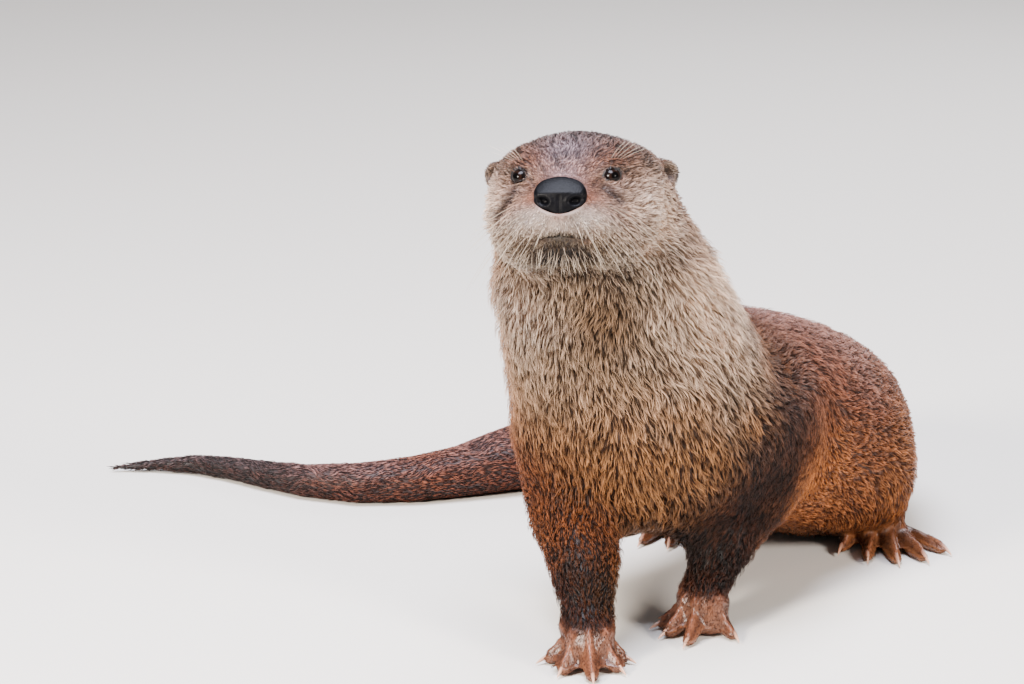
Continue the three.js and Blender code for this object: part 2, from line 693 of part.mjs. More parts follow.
// A closed tube through rings given by centre, half width and half depth, pointed or blunt at the ends.
function loft(rings, sides, start, end) {
  const level = end.clone().sub(start).cross(new THREE.Vector3(0, 0, 1)).normalize();
  const points = [start, end];
  const faces = [];
  rings.forEach(({ at, wide, deep, across = level }, i) => {
    const before = i ? rings[i - 1].at : start;
    const after = i < rings.length - 1 ? rings[i + 1].at : end;
    const upward = new THREE.Vector3().crossVectors(across, after.clone().sub(before)).normalize();
    for (let s = 0; s < sides; s++) {
      const angle = (2 * Math.PI * s) / sides;
      const out = upward.clone().multiplyScalar(Math.sin(angle) * deep);
      points.push(at.clone().add(out).addScaledVector(across, Math.cos(angle) * wide));
    }
  });
  for (let s = 0; s < sides; s++) {
    const ringAt = (i) => [2 + i * sides + s, 2 + i * sides + ((s + 1) % sides)];
    const [first, last] = [ringAt(0), ringAt(rings.length - 1)];
    faces.push(0, first[0], first[1], 1, last[1], last[0]);
    for (let i = 1; i < rings.length; i++) {
      const [[a, b], [c, d]] = [ringAt(i - 1), ringAt(i)];
      faces.push(a, d, b, a, c, d);
    }
  }
  return solidOf(geometryFrom(points, faces));
}

// A toe from inside the palm, over the knuckle and down to its pad on the floor.
function toeSolid(leg, inward, toe) {
  const at = (share, height) => {
    const reach = toe.root + (toe.reach - toe.root) * share;
    return inPaw(leg, inward, toe.spread * (0.75 + 0.25 * share), reach, height);
  };
  const w = toe.width;
  const rings = [
    { at: at(0.1, toe.knuckle * 0.82), wide: w * 1.05, deep: w * 1.1 },
    { at: at(0.72, w * 0.86), wide: w, deep: w * 1.1 },
    { at: at(0.95, w * 0.62), wide: w * 0.76, deep: w * 0.82 },
  ];
  return loft(rings, 6, at(-0.16, toe.knuckle * 0.75), at(1.03, w * 0.6));
}

// A claw: a thin horn bent down towards the floor, from inside the toe's end.
function clawSolid(leg, inward, toe, grow) {
  const at = (reach, height) => inPaw(leg, inward, toe.spread, toe.reach + reach, height);
  const w = toe.width;
  const rings = [
    { at: at(-4, w * 1.2), wide: clawRoot * 0.8 + grow, deep: clawRoot + grow },
    { at: at(2, w * 1.05), wide: clawRoot * 0.62 + grow, deep: clawRoot * 0.85 + grow },
  ];
  return loft(rings, 4, at(-7.5 - grow, w * 1.15), at(clawLength - 5 + grow, 1.4 - grow * 0.3));
}

// The web between the toes: one flat lens that ends a little behind their last joints.
function webSolid(leg, inward, toes) {
  const middle = toes[2];
  const fan = (toes[0].spread + toes[4].spread) / 2;
  const at = (reach, height) => inPaw(leg, inward, fan, reach, height);
  const [back, front] = [at(middle.root * 0.8, middle.knuckle * 0.62), at(middle.reach * 0.74, 4)];
  const ahead = front.clone().sub(back).normalize();
  const across = new THREE.Vector3().crossVectors(ahead, new THREE.Vector3(0, 0, 1)).normalize();
  const upward = new THREE.Vector3().crossVectors(across, ahead);
  const half = Math.sin((toes[0].spread - toes[4].spread) / 2) * middle.reach * 0.66;
  const radii = [half, back.distanceTo(front) * 0.5, 2.6];
  return lozenge(back.clone().lerp(front, 0.5), [across, ahead, upward], radii, 6, 3);
}

// A length of the tail, resting on the floor.
function tailLength(from, to) {
  const step = (to - from) / Math.max(2, Math.round((to - from) / tailStep));
  const rings = [];
  const last = to === 1 ? to : to + step;
  for (let t = from - step; t < last + step / 2; t += step) {
    const p = spinePoint(Math.min(1, t));
    rings.push({ at: p.centre, wide: p.wide, deep: p.deep, across: p.side.clone().negate() });
  }
  const tip = rings[rings.length - 1].at.clone().addScaledVector(spinePoint(1).along, to === 1 ? 4 : 1);
  let solid = loft(rings, 11, rings[0].at.clone().addScaledVector(spinePoint(from).along, -1), tip);
  solid = onFloor(solid);
  const start = cutAt(from);
  solid = solid.intersect(halfSpace(start.point, start.toTail));
  if (to === 1) return solid;
  return solid.intersect(halfSpace(cutAt(to).point, opposite(cutAt(to).toTail)));
}

function buildPaw(name, region, leg, inward, shapes, cell) {
  let paw = limbPiece(region, { ...leg, bones: [{ at: leg.wrist }] }, leg.reach[2] + 12, cell);
  const toes = toesOf(leg, shapes);
  for (const toe of toes) paw = paw.add(toeSolid(leg, inward, toe));
  paw = paw.add(webSolid(leg, inward, toes));
  toes.forEach((toe, i) => {
    paw = paw.subtract(clawSolid(leg, inward, toe, gap));
    place(`claw_${name}_${i + 1}`, clawSolid(leg, inward, toe, 0), looks.claw);
  });
  place(`paw_${name}`, onFloor(paw), looks.pawSkin);
}

const cell = { head: 10.7, trunk: 21, leg: 14.6, hindLeg: 17, frontPaw: 11.7, hindPaw: 16.2, nose: 4.2 };

// head with its eyes, nose and ears
const eyeCentre = (side) => inHead([eye.side * side, eye.forward, eye.up]);
const ball = (centre, radius) => {
  const sphere = new THREE.SphereGeometry(radius, 9, 6);
  sphere.translate(...centre.toArray());
  return solidOf(sphere);
};
const noseSize = 24;
const noseLow = inHead([0, 30, -15]).subScalar(noseSize).toArray();
const noseHigh = inHead([0, 30, -15]).addScalar(noseSize).toArray();
const noseShape = noseDistance();
const noseSolid = solidOf(surfaceOf(noseShape, noseLow, noseHigh, cell.nose));
const noseBed = solidOf(surfaceOf((x, y, z) => noseShape(x, y, z) - 3 * gap, noseLow, noseHigh, cell.nose));
let head = bodyLength(null, 'head', cell.head).subtract(noseBed);
place('nose_pad', noseSolid, looks.nose);
for (const [name, side] of [['left', 1], ['right', -1]]) {
  head = head.subtract(ball(eyeCentre(side), eye.radius + gap));
  place(`eye_${name}`, ball(eyeCentre(side), eye.radius), looks.eye);
  const { disc, hollow } = earShapes(side, 0);
  place(`ear_${name}`, mainPiece(disc.subtract(hollow)), looks.brownCoat);
  head = head.subtract(earShapes(side, 1.5 * gap).disc);
}
place('head', head, looks.brownCoat);

// neck, trunk and tail
place('neck', bodyLength('head', cuts.neck, cell.trunk), looks.paleCoat);
const { frontLegRight, frontLegLeft, frontPawRight, frontPawLeft } = regions;
const { hindLegRight, hindLegLeft, hindPawRight, hindPawLeft } = regions;
const foreLimbs = [frontLegRight, frontLegLeft, frontPawRight, frontPawLeft];
const hindLimbs = [hindLegLeft, hindLegRight, hindPawLeft, hindPawRight];
place('chest', bodyLength(cuts.neck, cuts.chest, cell.trunk, foreLimbs), looks.brownCoat);
place('loin', bodyLength(cuts.chest, cuts.loin, cell.trunk, [frontLegLeft, ...hindLimbs]), looks.brownCoat);
place('hips', bodyLength(cuts.loin, cuts.hips, cell.trunk, hindLimbs), looks.brownCoat);
place('tail_base', tailLength(cuts.hips, cuts.tailBase), looks.brownCoat);
place('tail_middle', tailLength(cuts.tailBase, cuts.tailMiddle), looks.brownCoat);
place('tail_tip', tailLength(cuts.tailMiddle, 1), looks.brownCoat);

// legs and paws
for (const [side, legs] of [['right', frontLegs.right], ['left', frontLegs.left]]) {
  const [leg, paw] = side === 'left' ? [frontLegLeft, frontPawLeft] : [frontLegRight, frontPawRight];
  place(`front_leg_${side}`, limbPiece(leg, legs, 44, cell.leg, [paw]), looks.brownCoat);
  buildPaw(`front_${side}`, paw, legs, inwardOf[side], frontToes, cell.frontPaw);
}
for (const [side, legs] of [['right', hindLegs.right], ['left', hindLegs.left]]) {
  const [leg, paw] = side === 'left' ? [hindLegLeft, hindPawLeft] : [hindLegRight, hindPawRight];
  place(`hind_leg_${side}`, limbPiece(leg, legs, 54, cell.hindLeg, [paw]), looks.brownCoat);
  buildPaw(`hind_${side}`, paw, legs, inwardOf[side], hindToes, cell.hindPaw);
}

// origin on the floor under the middle of the footprint
const box = new THREE.Box3().setFromObject(otter);
otter.position.set(-(box.min.x + box.max.x) / 2, -(box.min.y + box.max.y) / 2, -box.min.z);
otter.updateMatrixWorld(true);

export default otter;
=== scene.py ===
import math

import bmesh
import bpy
import numpy as np
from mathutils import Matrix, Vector
from mathutils.bvhtree import BVHTree
from mathutils.kdtree import KDTree


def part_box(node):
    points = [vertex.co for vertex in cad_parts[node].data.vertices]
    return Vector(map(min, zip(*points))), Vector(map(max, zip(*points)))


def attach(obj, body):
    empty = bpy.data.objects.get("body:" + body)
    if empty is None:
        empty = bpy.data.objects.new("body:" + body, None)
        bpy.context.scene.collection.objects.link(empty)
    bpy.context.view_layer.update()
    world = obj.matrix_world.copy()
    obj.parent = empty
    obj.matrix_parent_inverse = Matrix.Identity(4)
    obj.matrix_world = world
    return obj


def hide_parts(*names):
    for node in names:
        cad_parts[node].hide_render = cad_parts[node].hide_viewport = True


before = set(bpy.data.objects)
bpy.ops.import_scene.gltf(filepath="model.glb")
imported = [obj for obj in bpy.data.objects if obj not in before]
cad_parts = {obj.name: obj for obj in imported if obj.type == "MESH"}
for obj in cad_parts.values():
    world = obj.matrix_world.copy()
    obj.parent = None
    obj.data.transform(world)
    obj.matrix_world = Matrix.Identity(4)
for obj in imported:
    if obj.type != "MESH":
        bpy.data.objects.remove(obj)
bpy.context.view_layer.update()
mm = 0.001
dice = np.random.default_rng(31)
scene = bpy.context.scene


# small helpers
def hexToLinear(text):
    parts = [int(text[i:i + 2], 16) / 255 for i in (1, 3, 5)]
    return [c / 12.92 if c <= 0.04045 else ((c + 0.055) / 1.055) ** 2.4 for c in parts]


def paint(text):
    return (*hexToLinear(text), 1.0)


def unit(v):
    v = np.asarray(v, float)
    return v / np.maximum(np.linalg.norm(v, axis=-1, keepdims=True), 1e-12)


def lengthOf(v):
    return np.linalg.norm(v, axis=-1)


def ease(low, high, x):
    t = np.clip((x - low) / (high - low), 0, 1)
    return t * t * (3 - 2 * t)


def hump(x, width):
    return np.exp(-((x / width) ** 2))


def humps(x, table):  # height, place and half width of each
    return sum(high * hump(x - at, wide) for high, at, wide in table)


def flattened(v, normal):  # the part of v that runs across the normal
    return v - normal * np.sum(v * normal, 1, keepdims=True)


def addNode(tree, kind, inputs=None, **settings):
    node = tree.nodes.new("ShaderNode" + kind)
    for key, value in settings.items():
        if key == "stops":  # places and colours along a ramp
            elements = node.color_ramp.elements
            for place, _ in value[1:-1]:
                elements.new(place)
            for element, (place, colour) in zip(elements, value):
                element.position, element.color = place, paint(colour)
        else:
            setattr(node, key, value)
    for key, value in (inputs or {}).items():
        if isinstance(value, bpy.types.Node):
            value = value.outputs[0]
        if isinstance(value, bpy.types.NodeSocket):
            tree.links.new(value, node.inputs[key])
        else:
            node.inputs[key].default_value = value
    return node


def newMaterial(name):
    material = bpy.data.materials.new(name)
    material.use_nodes = True
    material.node_tree.nodes.clear()
    return material, material.node_tree


def finished(material, shader):
    addNode(material.node_tree, "OutputMaterial", {"Surface": shader})
    return material


def placed(name, data):
    thing = bpy.data.objects.new(name, data)
    scene.collection.objects.link(thing)
    return thing


def smoothed(mesh):
    mesh.polygons.foreach_set("use_smooth", np.ones(len(mesh.polygons), bool))


def newPiece(name, points, faces, material):
    mesh = bpy.data.meshes.new(name)
    faces = np.asarray(faces)
    mesh.vertices.add(len(points))
    mesh.vertices.foreach_set("co", np.asarray(points, np.float32).ravel())
    size = faces.shape[1]
    mesh.loops.add(faces.size)
    mesh.loops.foreach_set("vertex_index", faces.astype(np.int32).ravel())
    mesh.polygons.add(len(faces))
    mesh.polygons.foreach_set("loop_start", np.arange(0, faces.size, size, dtype=np.int32))
    mesh.update(calc_edges=True)
    smoothed(mesh)
    return addPiece(name, mesh, material)


def addPiece(name, mesh, material):
    piece = placed(name, mesh)
    mesh.materials.append(material)
    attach(piece, "root")
    return piece


def setColours(mesh, name, colours):
    layer = mesh.color_attributes.new(name, "FLOAT_COLOR", "POINT")
    full = np.ones((len(colours), 4), np.float32)
    full[:, :3] = colours
    layer.data.foreach_set("color", full.ravel())


def sleeve(rings, around):  # triangles between rings of corners
    faces = []
    for i in range(rings):
        for j in range(around):
            k = (j + 1) % around
            a, b, c, d = i * around + j, i * around + k, (i + 1) * around + k, (i + 1) * around + j
            faces += [[a, b, c], [a, c, d]]
    return faces


def setValues(mesh, name, values):
    layer = mesh.attributes.new(name, "FLOAT", "POINT")
    layer.data.foreach_set("value", np.asarray(values, np.float32))


def arraysOf(mesh):
    points = np.empty(len(mesh.vertices) * 3)
    mesh.vertices.foreach_get("co", points)
    mesh.calc_loop_triangles()
    corners = np.empty(len(mesh.loop_triangles) * 3, np.int32)
    mesh.loop_triangles.foreach_get("vertices", corners)
    return points.reshape(-1, 3), corners.reshape(-1, 3)


def nodeMesh(name):
    return arraysOf(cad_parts[name].data)


def boxOf(name):
    low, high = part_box(name)
    return np.array(low), np.array(high)


def middleOf(name):
    return sum(boxOf(name)) / 2


def stacked(names):
    points, corners, owner, count = [], [], [], 0
    for i, name in enumerate(names):
        p, c = nodeMesh(name)
        points.append(p)
        corners.append(c + count)
        owner.append(np.full(len(c), i))
        count += len(p)
    return np.vstack(points), np.vstack(corners), np.concatenate(owner)


def modified(mesh, kind, settings):
    thing = placed("work", mesh)
    modifier = thing.modifiers.new("work", kind)
    for key, value in settings.items():
        setattr(modifier, key, value)
    made = bpy.data.meshes.new_from_object(thing.evaluated_get(bpy.context.evaluated_depsgraph_get()))
    bpy.data.objects.remove(thing)
    return made


def wrapped(points, corners, voxel):  # one closed skin round overlapping or parted solids
    mesh = bpy.data.meshes.new("wrap")
    mesh.from_pydata(points.tolist(), [], corners.tolist())
    made = modified(mesh, "REMESH", {"mode": "VOXEL", "voxel_size": voxel * mm})
    bpy.data.meshes.remove(mesh)
    return made


def pointTree(points):
    tree = KDTree(len(points))
    for i, p in enumerate(points):
        tree.insert(p, i)
    tree.balance()
    return tree


# values at the points of one surface, read off the nearest points of another
class Reader:
    def __init__(self, source, target, count=4):
        tree = pointTree(source)
        found = [tree.find_n(p, count) for p in target]
        self.index = np.array([[f[1] for f in row] for row in found])
        gaps = np.array([[f[2] for f in row] for row in found])
        weights = 1 / (gaps**2 + (0.2 * mm) ** 2)
        self.weights = weights / weights.sum(1, keepdims=True)

    def read(self, values):
        return np.einsum("ij,ij...->i...", self.weights, values[self.index])


# a mesh as arrays, with what smoothing and normals need
class Surface:
    def __init__(self, mesh):
        self.mesh = mesh
        self.count = len(mesh.vertices)
        self.points, self.corners = arraysOf(mesh)
        edges = np.empty(len(mesh.edges) * 2, np.int32)
        mesh.edges.foreach_get("vertices", edges)
        self.edges = edges.reshape(-1, 2)
        self.ends = np.concatenate([self.edges[:, 0], self.edges[:, 1]])
        self.others = np.concatenate([self.edges[:, 1], self.edges[:, 0]])
        self.degree = np.maximum(np.bincount(self.ends, minlength=self.count), 1)

    def around(self, values):
        columns = values if values.ndim > 1 else values[:, None]
        sums = [np.bincount(self.ends, column[self.others], self.count) for column in columns.T]
        mean = np.stack(sums, 1) / self.degree[:, None]
        return mean if values.ndim > 1 else mean[:, 0]

    def spread(self, values, rounds, share=0.9):
        for _ in range(rounds):
            values = values + share * (self.around(values) - values)
        return values

    def normals(self):
        a, b, c = (self.points[self.corners[:, i]] for i in range(3))
        face = np.cross(b - a, c - a)
        total = np.zeros((self.count, 3))
        for i in range(3):
            for axis in range(3):
                total[:, axis] += np.bincount(self.corners[:, i], face[:, axis], self.count)
        return unit(total)

    def spacing(self):
        long = lengthOf(self.points[self.edges[:, 0]] - self.points[self.edges[:, 1]])
        return np.bincount(self.ends, np.tile(long, 2), self.count) / self.degree

    def store(self):
        self.mesh.vertices.foreach_set("co", self.points.astype(np.float32).ravel())
        smoothed(self.mesh)
        self.mesh.update()


# camera, lights and floor
shot = {
    "target": (-1.2, -190.0, 206.0),  # mm, the base of the neck
    "distance": 2645.0,  # mm
    "elevation": 15.0,  # degrees above the floor's plane
    "lens": 150.0,  # mm on a 36 mm sensor
}


def makeCamera():
    data = bpy.data.cameras.new("camera")
    data.lens = shot["lens"]
    data.sensor_width = 36
    data.clip_start = 0.05
    data.clip_end = 60
    camera = placed("camera", data)
    target = Vector(shot["target"]) * mm
    lift = math.radians(shot["elevation"])
    away = Vector((0, -math.cos(lift), math.sin(lift))) * shot["distance"] * mm
    camera.location = target + away
    camera.rotation_euler = (-away).to_track_quat("-Z", "Y").to_euler()
    scene.camera = camera


lamps = {  # place in metres, size in metres, watts, colour
    "overcastTop": ((-0.2, -0.5, 2.0), 1.1, 146, "#e9edff"),
    "frontLeft": ((-1.5, -2.0, 1.4), 0.6, 196, "#fff3e6"),
    "frontRight": ((1.9, -1.6, 1.2), 0.7, 98, "#fff6ee"),
    "back": ((0.9, 1.7, 1.3), 1.0, 24, "#f2f5ff"),
}
backdrop = {"floor": "#e3ded6", "halfWidth": 30, "world": "#eef0f4", "worldStrength": 0.28}  # metres
lampAim = (0, -0.1, 0.15)  # metres, the chest


def makeStage():
    for name, (place, size, watts, colour) in lamps.items():
        data = bpy.data.lights.new(name, "AREA")
        data.shape = "DISK"
        data.size = size
        data.energy = watts
        data.color = hexToLinear(colour)
        lamp = placed(name, data)
        lamp.location = place
        aim = Vector(lampAim) - lamp.location
        lamp.rotation_euler = aim.to_track_quat("-Z", "Y").to_euler()
    world = bpy.data.worlds.new("softbox")
    world.use_nodes = True
    sky = world.node_tree.nodes["Background"]
    sky.inputs["Color"].default_value = paint(backdrop["world"])
    sky.inputs["Strength"].default_value = backdrop["worldStrength"]
    scene.world = world
    material, tree = newMaterial("matt painted board")  # flat and pale, no gloss
    shader = addNode(tree, "BsdfPrincipled", {"Base Color": paint(backdrop["floor"]), "Roughness": 0.9})
    finished(material, shader)
    mesh = bpy.data.meshes.new("floor")
    far = backdrop["halfWidth"]
    mesh.from_pydata([(-far, -far, 0), (far, -far, 0), (far, far, 0), (-far, far, 0)], [], [(0, 1, 2, 3)])
    mesh.materials.append(material)
    placed("floor", mesh)


makeCamera()
makeStage()
print("camera, lights and floor")

# the head's own frame: side (its left +), forward, up, in mm from between the eyes
noseDrop = math.radians(23.6)  # how far the nose pad's middle lies below the line of sight
betweenEyes = (middleOf("eye_left") + middleOf("eye_right")) / 2
headLeft = unit(middleOf("eye_left") - middleOf("eye_right"))
toNose = middleOf("nose_pad") - betweenEyes
toNose = unit(toNose - headLeft * (toNose @ headLeft))
headForward = math.cos(noseDrop) * toNose + math.sin(noseDrop) * np.cross(toNose, headLeft)
headUp = np.cross(headForward, headLeft)
headAxes = np.stack([headLeft, headForward, headUp])


def inHead(points):
    return (points - betweenEyes) @ headAxes.T / mm


def fromHead(places):
    return betweenEyes + np.asarray(places, float) * mm @ headAxes


def upAndAcross(look):  # for an eye that looks this way
    up = unit(headUp - look * (headUp @ look))
    return up, np.cross(up, look)


def gapTo(points, node, share):  # mm to a place given as a share of the node's box
    low, high = boxOf(node)
    return lengthOf(points - low - (high - low) * share) / mm


def clawsOf(end, side):
    return np.array([middleOf(f"claw_{end}_{side}_{i}") for i in range(1, 6)])


# the flesh: which node each place belongs to
bodyNodes = ["head", "neck", "chest", "loin", "hips", "tail_base", "tail_middle", "tail_tip"]
sides = ["left", "right"]
limbParts = ("front_leg", "hind_leg", "paw_front", "paw_hind")
limbNodes = [f"{part}_{side}" for part in limbParts for side in sides]
earNodes = [f"ear_{side}" for side in sides]
fleshNodes = bodyNodes + limbNodes + earNodes
ends = ("front", "hind")
clawNodes = [f"claw_{end}_{side}_{i}" for end in ends for side in sides for i in range(1, 6)]
fillNodes = ["nose_pad", "eye_left", "eye_right"] + clawNodes  # they fill their own hollows in the skin
labelOf = {name: i for i, name in enumerate(fleshNodes)}
labelOf.update({name: 0 for name in fillNodes[:3]})
labelOf.update({name: labelOf["paw_" + name[5:-2]] for name in clawNodes})

# what each part of the coat is like: mm, or shares
# depth: the skin lies this far inside; even: how widely facets are smoothed away;
# crowd: tufts per square mm; rise: a tuft's height over its length; clump: how far tips run together
coatKeys = ("depth", "even", "crowd", "length", "width", "rise", "clump")
coatLie = {
    "head": (1.3, 3.4, 1.3, 6.8, 0.4, 0.22, 0.8),
    "ear": (0.2, 0.9, 1.6, 2.2, 0.34, 0.14, 0.2),
    "neck": (2.6, 9.0, 0.89, 12.0, 0.42, 0.3, 0.86),
    "chest": (2.8, 11.0, 0.72, 12.0, 0.46, 0.27, 0.86),
    "loin": (2.0, 10.0, 0.56, 10.0, 0.56, 0.16, 0.75),
    "hips": (2.0, 9.0, 0.52, 10.0, 0.58, 0.16, 0.75),
    "tail": (1.0, 4.5, 0.54, 7.0, 0.6, 0.05, 0.6),
    "front_leg": (1.4, 7.0, 0.94, 8.0, 0.44, 0.24, 0.7),
    "hind_leg": (1.8, 8.0, 0.64, 8.5, 0.54, 0.14, 0.7),
    "paw_front": (0.4, 1.5, 0.9, 2.4, 0.28, 0.03, 0.3),
    "paw_hind": (0.4, 1.5, 0.7, 2.4, 0.3, 0.03, 0.3),
}


def partOf(node, table):
    return next(values for part, values in table.items() if node.startswith(part))


def perNode(key):
    return np.array([partOf(node, coatLie)[coatKeys.index(key)] for node in fleshNodes])


# the body's middle line: through each length's middle and each cut
def cutMiddle(one, other):
    points, _ = nodeMesh(one)
    tree = BVHTree.FromPolygons(*(a.tolist() for a in nodeMesh(other)))
    near = [p for p in points if tree.find_nearest(Vector(p), 0.8 * mm)[0] is not None]
    return np.mean(near, axis=0)


def curveThrough(points, steps):
    p = np.vstack([2 * points[0] - points[1], points, 2 * points[-1] - points[-2]])
    t = np.linspace(0, 1, steps, endpoint=False)[:, None]
    runs = []
    for i in range(1, len(p) - 2):
        a, b, c, d = p[i - 1:i + 3]
        bend = (2 * a - 5 * b + 4 * c - d) * t**2 + (3 * b - a - 3 * c + d) * t**3
        runs.append(0.5 * (2 * b + (c - a) * t + bend))
    return np.vstack(runs + [p[-2:-1]])


spineSteps = 14
stops = [nodeMesh("head")[0].mean(0)]
for one, other in zip(bodyNodes, bodyNodes[1:]):
    stops += [cutMiddle(one, other), nodeMesh(other)[0].mean(0)]
tailPoints = nodeMesh("tail_tip")[0]
stops.append(tailPoints[np.argmax(lengthOf(tailPoints - stops[-3]))])
spine = curveThrough(np.array(stops), spineSteps)
spineWay = unit(np.gradient(spine, axis=0))
# which way the underside faces
belly = {"head": (0, -0.5, -1), "neck": (0, -1, -0.25), "chest": (0, -0.8, -0.6)}
partAt = [bodyNodes[min(i // (2 * spineSteps), len(bodyNodes) - 1)] for i in range(len(spine))]
bellyAt = np.array([belly.get(part, (0, 0, -1)) for part in partAt])
for _ in range(12):
    bellyAt[1:-1] = (bellyAt[:-2] + bellyAt[1:-1] + bellyAt[2:]) / 3
spineBelly = unit(flattened(bellyAt, spineWay))
spineSide = np.cross(spineWay, spineBelly)


# a coarse copy of the flesh, on which shares and the comb are spread smoothly
guideMake = {"voxel": 6.0, "lie": 8, "colour": 24, "comb": 10}  # mm, then rounds of spreading


def nearestPart(points):
    tree = BVHTree.FromPolygons(flesh[0].tolist(), flesh[1].tolist())
    nearest = np.array([tree.find_nearest(Vector(p))[2] for p in points])
    return np.array([labelOf[name] for name in fleshNodes + fillNodes])[flesh[2][nearest]]


def sharesOf(label):
    shares = np.zeros((len(label), len(fleshNodes)))
    shares[np.arange(len(label)), label] = 1
    return shares


flesh = stacked(fleshNodes + fillNodes)
guide = Surface(wrapped(flesh[0], flesh[1], guideMake["voxel"]))
guide.label = nearestPart(guide.points)
guide.lie = guide.spread(sharesOf(guide.label), guideMake["lie"])
guide.colour = guide.spread(guide.lie, guideMake["colour"])

# skin
skinMake = {
    "voxel": 2.0,  # mm between corners
    "rounds": 60,  # of smoothing
    "keep": 0.4,  # share of its faces kept at the end
    "jawEven": 11.5,  # mm of smoothing where the jaw runs into the throat
    "floorGap": 0.15,  # mm that it stays above the floor
}
face = {  # mm, in the head's frame
    "eyeBall": 6.2,  # radius
    "opening": {"eye_left": (4.6, 4.0), "eye_right": (3.9, 3.8)},  # half its width and height
    "lid": 0.9,  # thickness
    "lidReach": 2.3,  # where the lids end, in eye openings
    "lidLines": ((1.0, 1.62, 0.17), (0.8, 2.3, 0.2), (0.5, 3.0, 0.2)),  # height, place, half width
    "lidSwells": ((0.5, 1.95, 0.16), (0.6, 2.65, 0.2)),  # between the lines
    "nose": (-0.5, -12.8),
    "noseReach": (15.2, 11.0),
    "noseSink": 11.0,  # how far the skin drops away behind the nose pad
    "mouthUp": -36.4,
    "mouthBow": 0.7,  # the rise under the nose
    "mouthFall": 0.0042,  # to its ends
    "mouthEnd": 22.0,
    "mouthDeep": 1.7,
    "lips": ((0.8, 2.2, 1.7), (0.5, -2.1, 1.6)),  # height, place over the mouth's line, half width
    "pad": (1.5, (13.5, 9.0), (-27.0, 6.5)),  # whisker pads: height, place and half width to the side and up
    "throat": 3.4,  # fullness beside the throat
}
creases = [  # folds beside the muzzle, from under each eye, painted dark: partly painted shade in the fold, partly the dark streak of the coat; from, to (side, up), depth, half width
    ((23.0, -6.4), (34.0, -16.0), 1.6, 2.5),
    ((-28.5, -6.0), (-32.5, -14.0), 1.5, 2.4),
    ((-32.5, -14.0), (-38.0, -23.0), 1.3, 2.6),
    ((20.0, -1.0), (17.0, -6.0), 0.5, 1.1),
    ((-20.0, -1.0), (-17.0, -6.0), 0.5, 1.1),
]


def mouthLine(side):
    s = np.minimum(np.abs(side), 27)
    return face["mouthUp"] - face["mouthBow"] * (1 - hump(s, 5)) - face["mouthFall"] * s**2


def fromLine(side, up, start, end):
    a, b = np.array(start), np.array(end)
    p = np.stack([side, up], 1)
    t = np.clip((p - a) @ (b - a) / ((b - a) @ (b - a)), 0, 1)
    return lengthOf(p - a - t[:, None] * (b - a))


def noseRing(spots):  # 1 at the nose's edge, less inside, as seen from the front
    flat = (spots[:, [0, 2]] - face["nose"]) / face["noseReach"]
    return lengthOf(flat) + 9 * ease(14, 6, spots[:, 1])


def whiskerRoots():  # rows of whisker pores on each pad: side, forward, up and the place along the row
    for s in (-1, 1):
        for row in range(4):
            for i in range(5):
                k = i / 4
                across = s * (7.5 + 2.0 * (row % 2) + 15 * k)
                yield s, row, k, (across, 31 - 12 * k, -20.5 - 3.0 * row - 1.2 * k)


def faceZone(points, reach=62):
    h = inHead(points)
    return (h[:, 1] > -34) & (lengthOf(h - (0, 5, -18)) < reach)


def fineZone(points):
    h = inHead(points)
    eyes = np.minimum(lengthOf(h - (27.3, 0, 0)), lengthOf(h + (27.3, 0, 0)))
    muzzle = lengthOf((h - (0, 26, -26)) / (30, 20, 22))
    return (eyes < 13) | (muzzle < 1)


def within(points, node, room):
    low, high = boxOf(node)
    return np.all((points > low - room * mm) & (points < high + room * mm), axis=1)


def pawZone(points):
    near = np.zeros(len(points), bool)
    for name in limbNodes[4:] + earNodes:
        near |= within(points, name, 4)
    return near


def refine(mesh, zones):
    bm = bmesh.new()
    bm.from_mesh(mesh)
    for zone in zones:
        bm.verts.index_update()
        near = zone(np.array([v.co[:] for v in bm.verts]))
        edges = [e for e in bm.edges if near[e.verts[0].index] and near[e.verts[1].index]]
        bmesh.ops.subdivide_edges(bm, edges=edges, cuts=1, use_grid_fill=True)
    bm.to_mesh(mesh)
    bm.free()
    mesh.update()


def shapeEyes(skin):
    normals = skin.normals()
    skin.eyeRing = np.full(skin.count, 9.0)
    skin.belowEye = np.zeros(skin.count)
    skin.browLine = np.zeros(skin.count)
    for name in ("eye_left", "eye_right"):
        centre = middleOf(name)
        away = (skin.points - centre) / mm
        far = lengthOf(away)
        look = unit(normals[far < 9].mean(0))
        up, across = upAndAcross(look)
        x, y, z = away @ across, away @ up, away @ look
        wide, high = face["opening"][name]
        inner = np.clip(-x * np.sign(look @ headLeft) / wide, 0, 1)  # the corner by the nose
        tall = high * (1 - 0.2 * inner) * (1 - 0.32 * ease(0, 2, y))  # the upper lid is flatter
        ring = np.sqrt((x / (wide * (1 + 0.16 * inner))) ** 2 + ((y + 0.9 * inner**2) / tall) ** 2)
        near = (far < 17) & (z > -3)
        way = away / far[:, None]
        upper = ease(-1, 3, y)
        lidAt = face["eyeBall"] + face["lid"] * (1 + 1.1 * upper)
        share = 1 - ease(1.15, face["lidReach"], ring)
        reach = far * (1 - share) + np.minimum(far + 0.4, lidAt + 0.9 * ease(1.1, 2.2, ring)) * share
        reach = np.where(ring < 1.06, np.maximum(np.minimum(reach, lidAt + 0.3), lidAt), reach)
        lines, swells = humps(ring, face["lidLines"]), humps(ring, face["lidSwells"])
        reach = reach - (0.9 * lines - swells) * upper
        reach = reach - 0.5 * hump(ring - 1.7, 0.14) * ease(1, -3, y)  # the fold under the eye
        reach = np.where(ring < 0.98, 0.78 * face["eyeBall"], reach)
        skin.points[near] = (centre + way * reach[:, None] * mm)[near]
        skin.eyeRing[near] = np.minimum(skin.eyeRing, ring)[near]
        skin.belowEye[near] = (1 - upper)[near]
        skin.browLine[near] = np.maximum(skin.browLine, lines * upper)[near]


